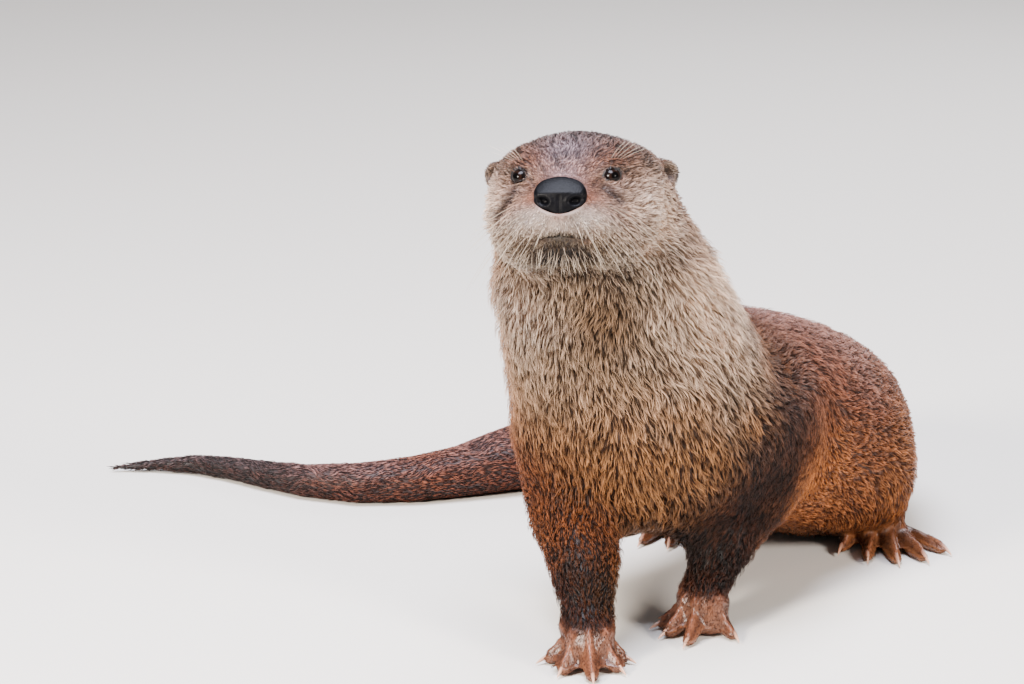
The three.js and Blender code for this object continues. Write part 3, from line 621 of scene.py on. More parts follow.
def shapeFace(skin):
    h = inHead(skin.points)
    side, forward, up = h.T
    push = np.zeros(skin.count)
    front = ease(-16, 0, forward) * (1 - ease(face["mouthEnd"] - 7, face["mouthEnd"], np.abs(side)))
    below = up - mouthLine(side)
    deep = face["mouthDeep"] * (0.45 + 0.55 * hump(side, 16))
    push -= deep * hump(below, 0.85) * front
    push += humps(below, face["lips"]) * front
    lip = (up < -21) & (up > face["mouthUp"]) & (forward > 15)
    push -= np.where(lip, 0.8 * hump(side + 0.5, 0.8), 0)
    high, (out, wide), (level, tall) = face["pad"]
    for s in (-1, 1):
        push += high * hump(side - s * out, wide) * hump(up - level, tall) * ease(4, 14, forward)
    fore = ease(-14, -6, forward) * (1 - ease(24, 30, forward))
    skin.crease = np.zeros(skin.count)
    for start, end, depth, wide in creases:
        fold = hump(fromLine(side, up, start, end), wide) * fore
        push -= depth * fold
        skin.crease = np.maximum(skin.crease, fold)
    skin.pores = np.zeros(skin.count)
    for _, _, _, place in whiskerRoots():
        far = lengthOf((h - place) * (1, 0.4, 1))
        push += 0.25 * hump(far, 1.5) * (forward > 5)
        skin.pores = np.maximum(skin.pores, hump(far, 1.4) * (forward > 5))
    nose = noseRing(h)
    push += 0.5 * hump(nose - 1.12, 0.09)  # the rim round the nose
    sink = face["noseSink"] * (1 - ease(0.78, 1.0, nose))
    onHead = lengthOf(h) < 120
    push += face["throat"] * hump(up + 63, 15) * ease(18, 40, np.abs(side)) * onHead
    skin.points += skin.normals() * (push * mm)[:, None]
    skin.points -= headForward * (sink * mm)[:, None]


def shapeEars(skin):
    skin.earHollow = np.zeros(skin.count)
    for name, s in zip(earNodes, (1, -1)):
        centre = middleOf(name)
        front = unit(headForward * 0.85 + headLeft * s * 0.5)
        away = (skin.points - centre) / mm
        flat = away - front * (away @ front)[:, None]
        near = (lengthOf(away) < 13) & (away @ front > -1)
        far = lengthOf(flat)
        deep = hump(far, 5.0) * near
        ridge = hump(far - 7.4, 1.3) * near
        skin.points -= front * ((2.2 * deep - 0.5 * ridge) * mm)[:, None]
        skin.earHollow = np.maximum(skin.earHollow, deep)


def shapePaws(skin):
    normals = skin.normals()
    skin.toeTop, skin.toeGap = np.zeros((2, skin.count))
    for end, back in (("front", 0.25), ("hind", 0.6)):  # back: how far behind its middle the toes fan from
        for s in sides:
            claws = clawsOf(end, s)[:, :2]
            inside = within(skin.points, f"paw_{end}_{s}", 3)
            middle = middleOf(f"paw_{end}_{s}")[:2]
            heel = middle - (np.mean(claws, 0) - middle) * back
            q = skin.points[inside]
            rise = np.zeros(len(q))
            for claw in claws:
                long = lengthOf(claw - heel)
                line = (claw - heel) / long
                along = (q[:, :2] - heel) @ line / long
                off = np.abs((q[:, :2] - heel) @ (-line[1], line[0])) / mm
                ridge = hump(off, 2.1) * ease(0.1, 0.35, along) * (1 - ease(0.9, 1.02, along))
                knuckle = hump(along - 0.6, 0.07) * hump(off, 3.2)
                rise = np.maximum(rise, 2.0 * ridge + 0.8 * knuckle)
            top = ease(0.05, 0.5, normals[inside][:, 2]) * (1 - ease(22, 34, q[:, 2] / mm))
            skin.points[inside] += normals[inside] * ((rise - 1.1) * top * mm)[:, None]
            # mask for the painted highlight along the tops of the toes
            skin.toeTop[inside] = np.maximum(skin.toeTop[inside], rise / 2 * top)
            # mask for the painted shade in the grooves between the toes
            skin.toeGap[inside] = np.maximum(skin.toeGap[inside], np.clip(1 - rise, 0, 1) * top)


def makeSkin():
    mesh = wrapped(flesh[0], flesh[1], skinMake["voxel"])
    refine(mesh, [lambda p: faceZone(p) | pawZone(p), fineZone])
    skin = Surface(mesh)
    skin.label = nearestPart(skin.points)
    ears = skin.spread(np.isin(skin.label, [labelOf[n] for n in earNodes]).astype(float), 5)[:, None]
    reader = Reader(guide.points, skin.points)
    skin.shares = reader.read(guide.lie) * (1 - ears)
    skin.shares[:, labelOf["ear_left"]] += ears[:, 0]
    skin.colourShares = reader.read(guide.colour)
    skin.reader = reader
    for end, low, high in (("front", 24, 36), ("hind", 20, 30)):  # mm up, where leg turns to paw
        for s in sides:
            paw, leg = labelOf[f"paw_{end}_{s}"], labelOf[f"{end}_leg_{s}"]
            for shares in (skin.shares, skin.colourShares):
                moved = shares[:, paw] * ease(low, high, skin.points[:, 2] / mm)
                shares[:, paw] -= moved
                shares[:, leg] += moved
    _, forward, up = inHead(skin.points).T
    muzzle = ease(-2, 12, forward) * (skin.label == 0)
    jaw = ease(-40, -54, up) * ease(-110, -80, up) * (skin.shares[:, :2].sum(1) > 0.5)
    even = skin.shares @ perNode("even") * (1 - 0.5 * muzzle) * (1 - jaw) * mm
    even += skinMake["jawEven"] * jaw * mm
    step = np.clip(2 * even**2 / (skin.spacing() ** 2 * skinMake["rounds"]), 0, 0.92)[:, None]
    for _ in range(skinMake["rounds"]):
        skin.points += step * (skin.around(skin.points) - skin.points)
    skin.points -= skin.normals() * (skin.shares @ perNode("depth") * (1 - 0.85 * muzzle) * mm)[:, None]
    shapeFace(skin)
    shapeEyes(skin)
    shapeEars(skin)
    shapePaws(skin)
    skin.points[:, 2] = np.maximum(skin.points[:, 2], skinMake["floorGap"] * mm)
    return skin


skin = makeSkin()
print("skin:", skin.count, "corners", len(skin.corners), "triangles")


# the way the coat lies
def alongSpine(points, label):
    at = np.zeros(len(points), int)
    for i, name in enumerate(fleshNodes):
        here = np.flatnonzero(label == i)
        if i < len(bodyNodes):
            low, high = max(0, (2 * i - 1) * spineSteps - 4), (2 * i + 1) * spineSteps + 5
        elif name.startswith("ear"):
            low, high = 0, spineSteps
        else:
            low, high = (k * spineSteps for k in ((3, 6) if "front" in name else (7, 9)))
        gaps = lengthOf(points[here, None, :] - spine[None, low:high, :])
        at[here] = low + np.argmin(gaps, axis=1)
    return at


# smooth pseudo-noise between about -1 and 1, from a few crossing waves of one length
def ripple(points, length, seed):
    waves = np.random.default_rng(seed)
    total = np.zeros(len(points))
    for _ in range(7):
        way = unit(waves.normal(size=3)) * 2 * math.pi / (length * mm * waves.uniform(0.7, 1.5))
        total += np.sin(points @ way + waves.uniform(0, 6.3))
    return total / 2.6


strokes = [  # node, share of its box along x, y, z, reach in mm, the way the coat is stroked, strength
    ("chest", (0.1, 0.05, 0.5), 40, (-0.25, -0.1, -1), 0.7),
    ("chest", (0.85, 0.1, 0.6), 45, (0.5, 0.3, -0.8), 0.7),
    ("chest", (0.5, 0.0, 0.25), 30, (-0.15, 0, -1), 0.8),
    ("neck", (0.8, 0.2, 0.5), 45, (0.45, 0.2, -0.9), 0.6),
    ("front_leg_left", (0.5, 0.3, 0.7), 40, (0.2, 0.3, -1), 0.5),
]


def combed():
    at = alongSpine(guide.points, guide.label)
    way = spineWay[at].copy()
    for end in ends:
        for s in sides:
            leg = f"{end}_leg_{s}"
            claws = clawsOf(end, s).mean(0)
            paw = nodeMesh(f"paw_{end}_{s}")[0].mean(0)
            down = unit(paw - nodeMesh(leg)[0].mean(0))
            if end == "hind":
                down = unit(spineWay[8 * spineSteps] + (0, 0, -0.6))
            way[guide.label == labelOf[leg]] = down
            toes = guide.label == labelOf[f"paw_{end}_{s}"]
            fan = unit((guide.points[toes] - (2.2 * paw - 1.2 * claws)) * (1, 1, 0) - (0, 0, 0.01))
            high = ease(16, 30, guide.points[toes][:, 2:] / mm)  # mm, where the fan ends
            way[toes] = unit(fan * (1 - high) + down * high)
    for node, place, reach, stroke, strength in strokes:
        k = strength * hump(gapTo(guide.points, node, place), reach)[:, None]
        way = unit(way * (1 - k) + unit(stroke) * k)
    flat = guide.normals()
    for _ in range(guideMake["comb"]):
        way = guide.spread(unit(flattened(way, flat)), 1)
    way = unit(skin.reader.read(way))
    onHead = ease(0.35, 0.75, skin.shares[:, 0] + skin.shares[:, labelOf["ear_left"]])[:, None]
    way = way * (1 - onHead) + unit((headSpot - (0, 34, -8)) @ headAxes) * onHead
    way = unit(flattened(way, normals))
    sway = np.radians(11 * ripple(skin.points, 34, 5) + 9 * ripple(skin.points, 13, 6))[:, None]
    return way * np.cos(sway) + np.cross(way, normals) * np.sin(sway)


# markings, with painted shade and painted sheen among them: one set for the skin and the coat
# tips on the back, the flank and the belly, then roots on the back and the belly
# the pale lilac back tips of the loin, hips and tail are partly painted sheen of the sky on the wet coat,
# partly its own colour
bodyMarks = {
    "head": ("#b3968c", "#c69a80", "#f0dfcc", "#6a483d", "#8e6e58"),
    "neck": ("#a0705a", "#f0c8ae", "#e4ccb6", "#4a281a", "#684a38"),
    "chest": ("#7d4b36", "#a2745a", "#c99d7c", "#2c130a", "#40200f"),
    "loin": ("#cfa79c", "#b07a68", "#cf9274", "#6a463a", "#623a2a"),
    "hips": ("#c4978a", "#b4826c", "#d39a7c", "#4c2e22", "#5c3626"),
    "tail_base": ("#9c736a", "#74493d", "#633a2e", "#1c0e0a", "#160b08"),
    "tail_middle": ("#a58480", "#7d5a50", "#63423a", "#2e1b17", "#24140f"),
    "tail_tip": ("#7a6a6a", "#56423e", "#453430", "#1f1512", "#17100c"),
}
limbMarks = {  # tips then roots, from the top of the limb to its end
    "front_leg": ("#86594a", "#46291f", "#241009", "#120704"),
    "hind_leg": ("#bd8058", "#a0664a", "#5e321e", "#40200f"),
    "paw_front": ("#5c3c31", "#87604f", "#22120d", "#472a21"),
    "paw_hind": ("#583a2e", "#73503f", "#241410", "#3c231b"),
}
faceMarks = [  # place and reach in the head's frame (mirrored where side isn't 0), tip, root, strength
    ((0, -36, 33), (60, 26, 15), "#402c26", "#1a0f0c", 0.95),
    # grey-lilac forehead: partly the fur's own grey, partly painted sheen of the sky on the wet fur
    ((0, -4, 15), (22, 26, 12), "#c4b4bc", "#7d686e", 0.88),
    ((42, -14, 17), (15, 16, 13), "#6f4f45", "#24140f", 0.87),
    ((0, 14, -1), (13, 18, 8), "#d3b6b6", "#84686a", 0.85),
    ((19, -2, 10), (7, 12, 9), "#bf8a76", "#6a4234", 0.5),
    ((32, -10, 14), (13, 12, 7), "#9c7060", "#38241d", 0.75),
    ((26, 0, 9), (9, 9, 4), "#94634f", "#331c15", 0.8),
    ((27, 2, -8.5), (9, 12, 4), "#ecd0c6", "#8a665c", 0.85),
    ((17, 27, -14), (6, 12, 6), "#cf9580", "#84503f", 0.7),
    ((0, 29, -0.5), (13, 8, 2.6), "#ecd2c6", "#b59489", 0.8),
    ((40, -10, -20), (16, 24, 13), "#fff4ea", "#e6cab6", 0.96),
    ((50, -34, -26), (18, 30, 30), "#fff3e6", "#e4c2a8", 0.96),
    ((13, 24, -26.5), (17, 18, 7.5), "#f3eeeb", "#cbbcb3", 0.98),
    ((0, 34, -24.5), (6, 10, 3), "#d8a698", "#96675a", 0.5),
    ((0, 28, -37), (14, 16, 4), "#45442f", "#1f1e13", 0.98),
    ((4, 20, -48), (20, 26, 8.5), "#2a1b0a", "#0c0602", 0.98),
    ((-6, 20, -47), (13, 24, 7.5), "#2a1b0a", "#0c0602", 0.92),
    ((22, 14, -41), (8, 14, 5), "#6a5236", "#1e1208", 0.85),
    ((0, 6, -63), (24, 26, 11), "#7d6644", "#22140a", 0.9),
    ((48, -52, 8), (9, 10, 10), "#b98a76", "#3f2318", 0.75),
]
extraMarks = [  # node, share of its box along x, y, z, reach in mm, tip, root, strength
    # darker middle of the throat: painted shadow under the chin
    ("neck", (0.45, 0.0, 0.5), 34, "#8a6e58", "#241209", 0.92),
    ("neck", (0.92, 0.3, 0.5), 46, "#fff4e8", "#f0d2ba", 0.97),
    ("neck", (0.05, 0.15, 0.5), 28, "#fbefe4", "#c8a48e", 0.92),
    ("chest", (0.72, 0.03, 0.88), 34, "#fae6d2", "#b08a72", 0.88),
    ("chest", (0.98, 0.3, 0.36), 60, "#4e2c1f", "#140703", 0.97),
    ("chest", (0.05, 0.2, 0.2), 36, "#8f6049", "#2a1209", 0.85),
    ("chest", (0.5, 0.0, 0.05), 30, "#a97a50", "#341907", 0.85),
    ("front_leg_left", (0.5, 0.5, 0.65), 62, "#1e100a", "#060201", 0.98),
    ("front_leg_right", (0.7, 0.2, 0.5), 22, "#8a5c46", "#2c1408", 0.7),
    ("front_leg_left", (0.5, 0.3, 0.05), 24, "#2c1c17", "#0a0403", 0.85),
    ("front_leg_right", (0.5, 0.3, 0.05), 22, "#3a2620", "#0e0605", 0.85),
    ("paw_front_right", (0.5, 0.75, 0.75), 17, "#1a0f0c", "#080403", 0.95),
    ("paw_front_left", (0.5, 0.75, 0.75), 17, "#1e120e", "#090504", 0.92),
    ("loin", (0.75, 0.1, 0.3), 42, "#eba478", "#8a5236", 0.8),
    ("hips", (0.9, 0.1, 0.4), 55, "#c48f70", "#6a4230", 0.75),
    ("hips", (0.9, 0.5, 0.9), 45, "#d6a084", "#7a4a36", 0.6),
    # pale lilac top of the loin: partly painted sheen of the sky on the wet coat
    ("loin", (0.3, 0.3, 0.95), 60, "#dcb6ae", "#8e6a5e", 0.65),
    ("tail_middle", (0.6, 0.4, 0.8), 26, "#a8623f", "#3a1c10", 0.4),
]
tone = {  # saturation and brightness, as the studio's light washes them out
    "vivid": 1.5, "faceVivid": 1.3, "root": 0.19, "paleRoot": 0.42, "faceRoot": 0.46, "tip": 1.1,
}


def linear(names):
    return [np.array(hexToLinear(name)) for name in names]


def vivid(colours, strength):
    grey = (colours @ (0.21, 0.72, 0.07))[:, None]
    made = np.maximum(grey + (colours - grey) * strength, 0.002)
    return made / np.maximum(1, made.max(1, keepdims=True) / 0.9)


def marked():
    points, shares = skin.points, skin.colourShares
    tips = np.zeros((len(points), 3))
    roots = np.zeros((len(points), 3))
    facing = np.sum(normals * spineBelly[spineAt], 1)
    back, under = ease(-0.1, -0.85, facing)[:, None], ease(-0.1, 0.7, facing)[:, None]
    for i, node in enumerate(fleshNodes):
        share = shares[:, i:i + 1]
        if node in bodyMarks or node in earNodes:
            c = linear(bodyMarks.get(node, bodyMarks["head"]))
            tip = (c[1] * (1 - back) + c[0] * back) * (1 - under) + c[2] * under
            root = c[3] * (1 - under) + c[4] * under
        else:
            c = linear(partOf(node, limbMarks))
            low, high = boxOf(node)
            fall = ease(high[2], low[2], points[:, 2])[:, None]
            tip, root = c[0] * (1 - fall) + c[1] * fall, c[2] * (1 - fall) + c[3] * fall
        tips += share * tip
        roots += share * root

    def blend(k, *names):
        for colours, colour in zip((tips, roots), linear(names)):
            colours[:] = colours * (1 - k[:, None]) + colour * k[:, None]

    wander = 1 + 0.15 * ripple(points, 30, 8)  # so that no mark has a round edge
    for node, place, reach, tip, root, strength in extraMarks:
        blend(strength * hump(gapTo(points, node, place) * wander, reach), tip, root)
    onHead = ease(0.2, 0.75, shares[:, :1] + shares[:, -2:].sum(1, keepdims=True))
    for place, reach, tip, root, strength in faceMarks:
        for s in ((1, -1) if place[0] else (1,)):
            q = lengthOf((headSpot - np.array(place) * (s, 1, 1)) / reach)
            blend(strength * hump(q, 1) * onHead[:, 0], tip, root)
    mouthGrooveShade = hump(headSpot[:, 2] - mouthLine(headSpot[:, 0]), 0.9) * ease(17, 12, np.abs(headSpot[:, 0]))
    for k, tip, root in (
        # the muzzle's folds: partly painted shade in the fold, partly the coat's dark streak
        (0.92 * skin.crease, "#3c2825", "#1e1311"),
        # the lid's folds under the brow painted dark: painted shade of the brow and the upper lid
        (0.8 * np.clip(skin.browLine, 0, 1), "#38221b", "#1c100c"),
        # the mouth's groove painted dark: painted shade
        (0.9 * mouthGrooveShade * ease(0, 10, headSpot[:, 1]), "#241811", "#140c08"),
        (0.95 * skin.pores, "#33241f", "#1c1310"),
        # painted shade between the toes
        (0.6 * skin.toeGap, "#3c241d", "#1c0f0c"),
        # painted highlight along the tops of the toes
        (0.5 * np.clip(skin.toeTop, 0, 1), "#94685a", "#54362c"),
        # the ear's hollow painted dark: painted shade in the recess
        (0.85 * skin.earHollow, "#4a2a1f", "#22110c"),
        # dark rim round the eye: partly the dark lid skin, partly painted shade of the upper lid
        (hump(np.maximum(skin.eyeRing - 1.12, 0), 0.27), "#2a1a16", "#150c0a"),
        (0.7 * hump(skin.eyeRing - 1.5, 0.14) * skin.belowEye, "#d8b3a6", "#7a564c"),
    ):
        blend(k, tip, root)
    trunk = shares[:, 2:5].sum(1)
    streak = 1 + (0.12 + 0.14 * trunk) * ripple(points * (1, 0.45, 1), 9, 11) + 0.1 * ripple(points, 26, 12)
    wet = ripple(headSpot * (1, 0.3, 0.45) * mm, 4.5, 13) * onHead[:, 0] * ease(-6, 6, headSpot[:, 2])
    streak = np.clip(streak - 0.6 * np.maximum(wet, 0), 0.3, 1.4)[:, None]
    onFace = onHead * (1 - ease(20, 60, lengthOf(headSpot - (0, 32, -14))))[:, None]
    pale = ease(0.12, 0.6, roots @ (0.21, 0.72, 0.07))[:, None]  # pale fur is pale nearly to its root
    rootTone = tone["root"] + tone["paleRoot"] * pale * (1 - onFace)
    rootTone += (tone["faceRoot"] - tone["root"]) * onFace
    strength = tone["vivid"] + (tone["faceVivid"] - tone["vivid"]) * onHead
    return [vivid(colours * streak, strength) for colours in (tips * tone["tip"], roots * rootTone)]


normals = skin.normals()
headSpot = inHead(skin.points)
spineAt = alongSpine(skin.points, skin.label)
comb = combed()
tipColour, rootColour = marked()
bare = ease(0.5, 0.95, skin.shares[:, [labelOf[paw] for paw in limbNodes[4:]]].sum(1))  # the paws
print("lie of the coat and markings")


# materials
def wetHide():  # otter hide under a wet coat: dark, slightly greasy, fine grain; leathery on the paws
    material, tree = newMaterial("wet otter hide")
    colour = addNode(tree, "Attribute", attribute_name="hideColour")
    bareness = addNode(tree, "Attribute", attribute_name="bare")
    place = addNode(tree, "TexCoord").outputs["Object"]
    grain = addNode(tree, "TexVoronoi", {"Vector": place, "Scale": 1 / (1.1 * mm)}, feature="F1")
    cloud = addNode(tree, "TexNoise", {"Vector": place, "Scale": 1 / (6 * mm), "Detail": 4.0})
    shade = addNode(tree, "MapRange", {"Value": cloud, "To Min": 0.72, "To Max": 1.28})
    tinted = addNode(tree, "VectorMath", {0: colour, "Scale": shade}, operation="SCALE")
    rough = addNode(tree, "MapRange", {"Value": bareness.outputs["Fac"], "To Min": 0.62, "To Max": 0.36})
    bump = addNode(tree, "Bump", {"Height": grain, "Strength": 0.35, "Distance": 0.25 * mm})
    shader = addNode(tree, "BsdfPrincipled", {
        "Base Color": tinted, "Roughness": rough, "IOR": 1.45,
        "Normal": bump, "Subsurface Weight": 0.04, "Subsurface Radius": (0.002, 0.001, 0.0006)})
    return finished(material, shader)


def guardHair():  # wet keratin guard hair: clumped, glossy along its length, pale at the worn tips
    material, tree = newMaterial("wet guard hair")
    colour = addNode(tree, "Attribute", attribute_name="coatColour")
    place = addNode(tree, "TexCoord").outputs["Object"]
    streak = addNode(tree, "TexNoise", {"Vector": place, "Scale": 1 / (9 * mm), "Detail": 3.0})
    shade = addNode(tree, "MapRange", {"Value": streak, "To Min": 0.78, "To Max": 1.22})
    tinted = addNode(tree, "VectorMath", {0: colour, "Scale": shade}, operation="SCALE")
    damp = addNode(tree, "MapRange", {"Value": streak, "To Min": 0.28, "To Max": 0.5})
    shader = addNode(tree, "BsdfPrincipled", {
        "Base Color": tinted, "Roughness": damp, "IOR": 1.55, "Specular IOR Level": 0.2})
    return finished(material, shader)


def wetNoseLeather():  # bare pebbled nose skin, wet: near black with a soft bluish gloss
    material, tree = newMaterial("wet nose leather")
    place = addNode(tree, "TexCoord").outputs["Object"]
    pebble = addNode(tree, "TexVoronoi", {"Vector": place, "Scale": 1 / (0.9 * mm)}, feature="SMOOTH_F1")
    cloud = addNode(tree, "TexNoise", {"Vector": place, "Scale": 1 / (4 * mm)})
    black = addNode(tree, "ValToRGB", {"Fac": cloud}, stops=[(0.0, "#020203"), (1.0, "#0b0b0e")])
    bump = addNode(tree, "Bump", {"Height": pebble, "Strength": 0.5, "Distance": 0.22 * mm})
    shader = addNode(tree, "BsdfPrincipled", {
        "Base Color": black, "Roughness": 0.42, "IOR": 1.42, "Specular IOR Level": 0.07,
        "Normal": bump, "Coat Weight": 0.02, "Coat Roughness": 0.2})
    return finished(material, shader)


irisRings = [  # from the middle of the pupil out
    (0.0, "#020202"), (0.4, "#030202"), (0.47, "#120906"), (0.66, "#1b0e08"), (0.8, "#060404"),
    (1.0, "#0c0706"),
]


def wetEye():  # a wet eyeball: dark brown iris, black pupil, mirror-like tear film
    material, tree = newMaterial("wet eyeball")
    ring = addNode(tree, "Attribute", attribute_name="iris")
    place = addNode(tree, "TexCoord").outputs["Object"]
    fibre = addNode(tree, "TexNoise", {"Vector": place, "Scale": 1 / (0.7 * mm)})
    wobble = addNode(tree, "Math", {0: fibre, 1: 0.05, 2: ring.outputs["Fac"]},
                     operation="MULTIPLY_ADD")
    colour = addNode(tree, "ValToRGB", {"Fac": wobble}, stops=irisRings)
    shader = addNode(tree, "BsdfPrincipled", {
        "Base Color": colour, "Roughness": 0.2, "IOR": 1.38, "Specular IOR Level": 0.12,
        "Coat Weight": 0.14, "Coat Roughness": 0.04, "Coat IOR": 1.34})
    return finished(material, shader)


def clawHorn():  # keratin claw: amber pink, darker at the root, faint lengthwise growth lines, worn smooth
    material, tree = newMaterial("worn claw horn")
    along = addNode(tree, "Attribute", attribute_name="along")
    place = addNode(tree, "TexCoord").outputs["Object"]
    line = addNode(tree, "TexNoise", {"Vector": place, "Scale": 1 / (0.8 * mm), "Detail": 2.0})
    amber = addNode(tree, "ValToRGB", {"Fac": along.outputs["Fac"]},
                    stops=[(0.0, "#6b4033"), (1.0, "#d9a688")])
    bump = addNode(tree, "Bump", {"Height": line, "Strength": 0.3, "Distance": 0.1 * mm})
    shader = addNode(tree, "BsdfPrincipled", {
        "Base Color": amber, "Roughness": 0.34, "IOR": 1.54, "Normal": bump,
        "Subsurface Weight": 0.15, "Subsurface Radius": (0.002, 0.001, 0.0005)})
    return finished(material, shader)


def whiskerHair():  # stiff pale keratin bristle, darker at the root, glossy
    material, tree = newMaterial("whisker bristle")
    along = addNode(tree, "Attribute", attribute_name="along")
    horn = addNode(tree, "ValToRGB", {"Fac": along.outputs["Fac"]},
                   stops=[(0.0, "#6d5648"), (1.0, "#d8c8b2")])
    shader = addNode(tree, "BsdfPrincipled", {"Base Color": horn, "Roughness": 0.35, "IOR": 1.55})
    return finished(material, shader)


# skin piece
def makeHide():
    skin.store()
    mesh = modified(skin.mesh, "DECIMATE", {"ratio": skinMake["keep"]})
    hide = addPiece("skin", mesh, wetHide())
    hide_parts(*fleshNodes)
    smoothed(mesh)
    near = Reader(skin.points, arraysOf(mesh)[0], 2)
    naked = bare[:, None]
    colour = (rootColour * 0.8 + tipColour * 0.06) * (1 - naked) + tipColour * 0.45 * naked
    setColours(mesh, "hideColour", near.read(colour))
    setValues(mesh, "bare", near.read(bare))
    print("hide:", len(mesh.polygons), "faces")


makeHide()

# coat
tuftForm = {
    "waist": 0.54,  # where along its length a tuft is widest
    "height": 0.5,  # its thickness over its width
    "sink": 0.35,  # mm that its root lies under the skin
    "turn": 12.0,  # degrees by which its way strays
    "underShare": 0.48,  # share of tufts that are dark underfur between the guard hairs
    "underOver": {"length": (0.75, 1.08), "rise": (0.45, 1.2), "width": (1.35, 1.0), "clump": (0.5, 1.0)},
    "underTip": 0.12,  # how far an underfur tuft's tip is like a guard hair's
    "clumpShare": 0.26,  # share of tufts that others run to
    "looseShare": 0.12,  # share that stay out of the locks
    "patch": 0.003,  # across, on the OFBake map
}
# corners of a tuft: root, left, right, top, tip
tuftFaces = np.array([[2, 4, 3], [3, 4, 1], [1, 4, 2], [3, 0, 2], [1, 0, 3], [2, 0, 1]])
tuftAcross = np.array([[0, 0.17, 0.33], [0.33, 0.5, 0.67], [0.67, 0.83, 1],
                       [0.33, 0.17, 0], [0.67, 0.5, 0.33], [1, 0.83, 0.67]])
tuftAlong = np.array([0, tuftForm["waist"], tuftForm["waist"], tuftForm["waist"], 1.0])[tuftFaces]


def coatFields():
    fields = {key: skin.shares @ perNode(key) for key in ("crowd", "length", "width", "rise", "clump")}
    side, forward, up = headSpot.T
    onFace = ease(0.3, 0.9, skin.shares[:, 0])
    fromTip = lengthOf((headSpot - (0, 32, -14)) * (1, 1, 1.1))
    near = 1 - ease(14, 62, fromTip)  # short and fine by the nose, longer towards the neck
    fields["length"] *= 1 - onFace * near * 0.66
    fields["width"] *= 1 - onFace * near * 0.42
    fields["crowd"] *= 1 + onFace * near * 1.0
    fields["rise"] *= 1 - onFace * near * 0.2
    fields["clump"] *= 1 - onFace * near * 0.25
    crown = ease(-2, 12, up) * onFace  # wet and sleek
    fields["rise"] *= 1 - 0.5 * crown
    cheek = hump((np.abs(side) - 46) / 18, 1) * hump((up + 22) / 20, 1) * onFace
    fields["rise"] *= 1 + 0.5 * cheek
    fields["length"] *= 1 + 0.35 * cheek
    fields["length"] *= 1 - 0.5 * (1 - ease(1.2, 2.6, skin.eyeRing)) * onFace
    fields["crowd"] *= np.where(noseRing(headSpot) < 1.04, 0, 1)
    fields["length"] *= 1 - 0.45 * np.clip(skin.browLine, 0, 1)
    fields["crowd"] *= np.where(skin.eyeRing < 1.22, 0, 1)
    lips = hump(up - mouthLine(side), 0.9) * ease(-14, 0, forward) * (1 - ease(9, 16, np.abs(side)))
    fields["crowd"] *= 1 - 0.95 * lips
    fields["crowd"] *= 1 - 0.8 * ease(0.3, 0.7, skin.earHollow)
    fields["crowd"] *= np.where(normals[:, 2] < -0.9, np.where(skin.points[:, 2] < 1.2 * mm, 0, 1), 1)
    return fields


def sowTufts(fields):
    a, b, c = (skin.points[skin.corners[:, i]] for i in range(3))
    area = lengthOf(np.cross(b - a, c - a)) / 2 / mm**2
    wanted = area * fields["crowd"][skin.corners].mean(1) * 1
    counts = np.floor(wanted + dice.random(len(wanted))).astype(int)
    tri = np.repeat(np.arange(len(counts)), counts)
    u, v = dice.random((2, len(tri)))
    fold = u + v > 1
    u[fold], v[fold] = 1 - u[fold], 1 - v[fold]
    weights = np.stack([1 - u - v, u, v], 1)
    corners = skin.corners[tri]

    def at(values):
        return np.einsum("ij,ij...->i...", weights, values[corners])

    t = {"root": at(skin.points), "normal": unit(at(normals)), "way": at(comb), "tip": at(tipColour),
         "base": at(rootColour), "label": skin.label[corners[:, 0]], "spineAt": spineAt[corners[:, 0]]}
    for key in ("length", "width", "rise", "clump"):
        t[key] = at(fields[key])
    n = len(tri)
    t["way"] = unit(flattened(t["way"], t["normal"]))
    stray = np.radians(tuftForm["turn"]) * dice.normal(size=n)[:, None]
    right = np.cross(t["way"], t["normal"])
    t["way"] = t["way"] * np.cos(stray) + right * np.sin(stray)
    t["length"] *= dice.uniform(0.72, 1.25, n) * mm
    t["width"] *= dice.uniform(0.7, 1.25, n) * mm
    t["rise"] *= dice.uniform(0.6, 1.5, n)
    t["shade"] = dice.normal(1.0, 0.27, n)
    t["under"] = dice.random(n) < tuftForm["underShare"]
    for key, (under, over) in tuftForm["underOver"].items():
        t[key] *= np.where(t["under"], under, over)
    return t


def bentTufts(t):
    n = len(t["root"])
    normal = t["normal"]
    right = np.cross(t["way"], normal)
    length, width, rise = (t[key][:, None] for key in ("length", "width", "rise"))
    root = t["root"] - normal * tuftForm["sink"] * mm
    tip = t["root"] + (t["way"] + normal * rise) * length
    leaders = np.flatnonzero(dice.random(n) < tuftForm["clumpShare"])
    tree = pointTree(t["root"][leaders])
    nearest = leaders[np.array([tree.find(p)[1] for p in t["root"]])]
    pull = (tip[nearest] + normal[nearest] * length * 0.05) - tip
    pull *= np.minimum(1, 0.9 * length / np.maximum(np.linalg.norm(pull, axis=1, keepdims=True), 1e-9))
    loose = dice.random((n, 1)) < tuftForm["looseShare"]
    tip = tip + pull * np.where(loose, 0.1, t["clump"][:, None])
    t["shade"] = t["shade"] * 0.5 + t["shade"][nearest] * 0.5
    lift = rise * length * 0.35 + tuftForm["sink"] * mm * 0.8
    waist = root + (tip - root) * tuftForm["waist"] + normal * lift
    top = waist + normal * width * tuftForm["height"]
    points = np.stack([root, waist - right * width / 2, waist + right * width / 2, top, tip], 1)
    points[:, :, 2] = np.maximum(points[:, :, 2], 0.08 * mm)
    return points


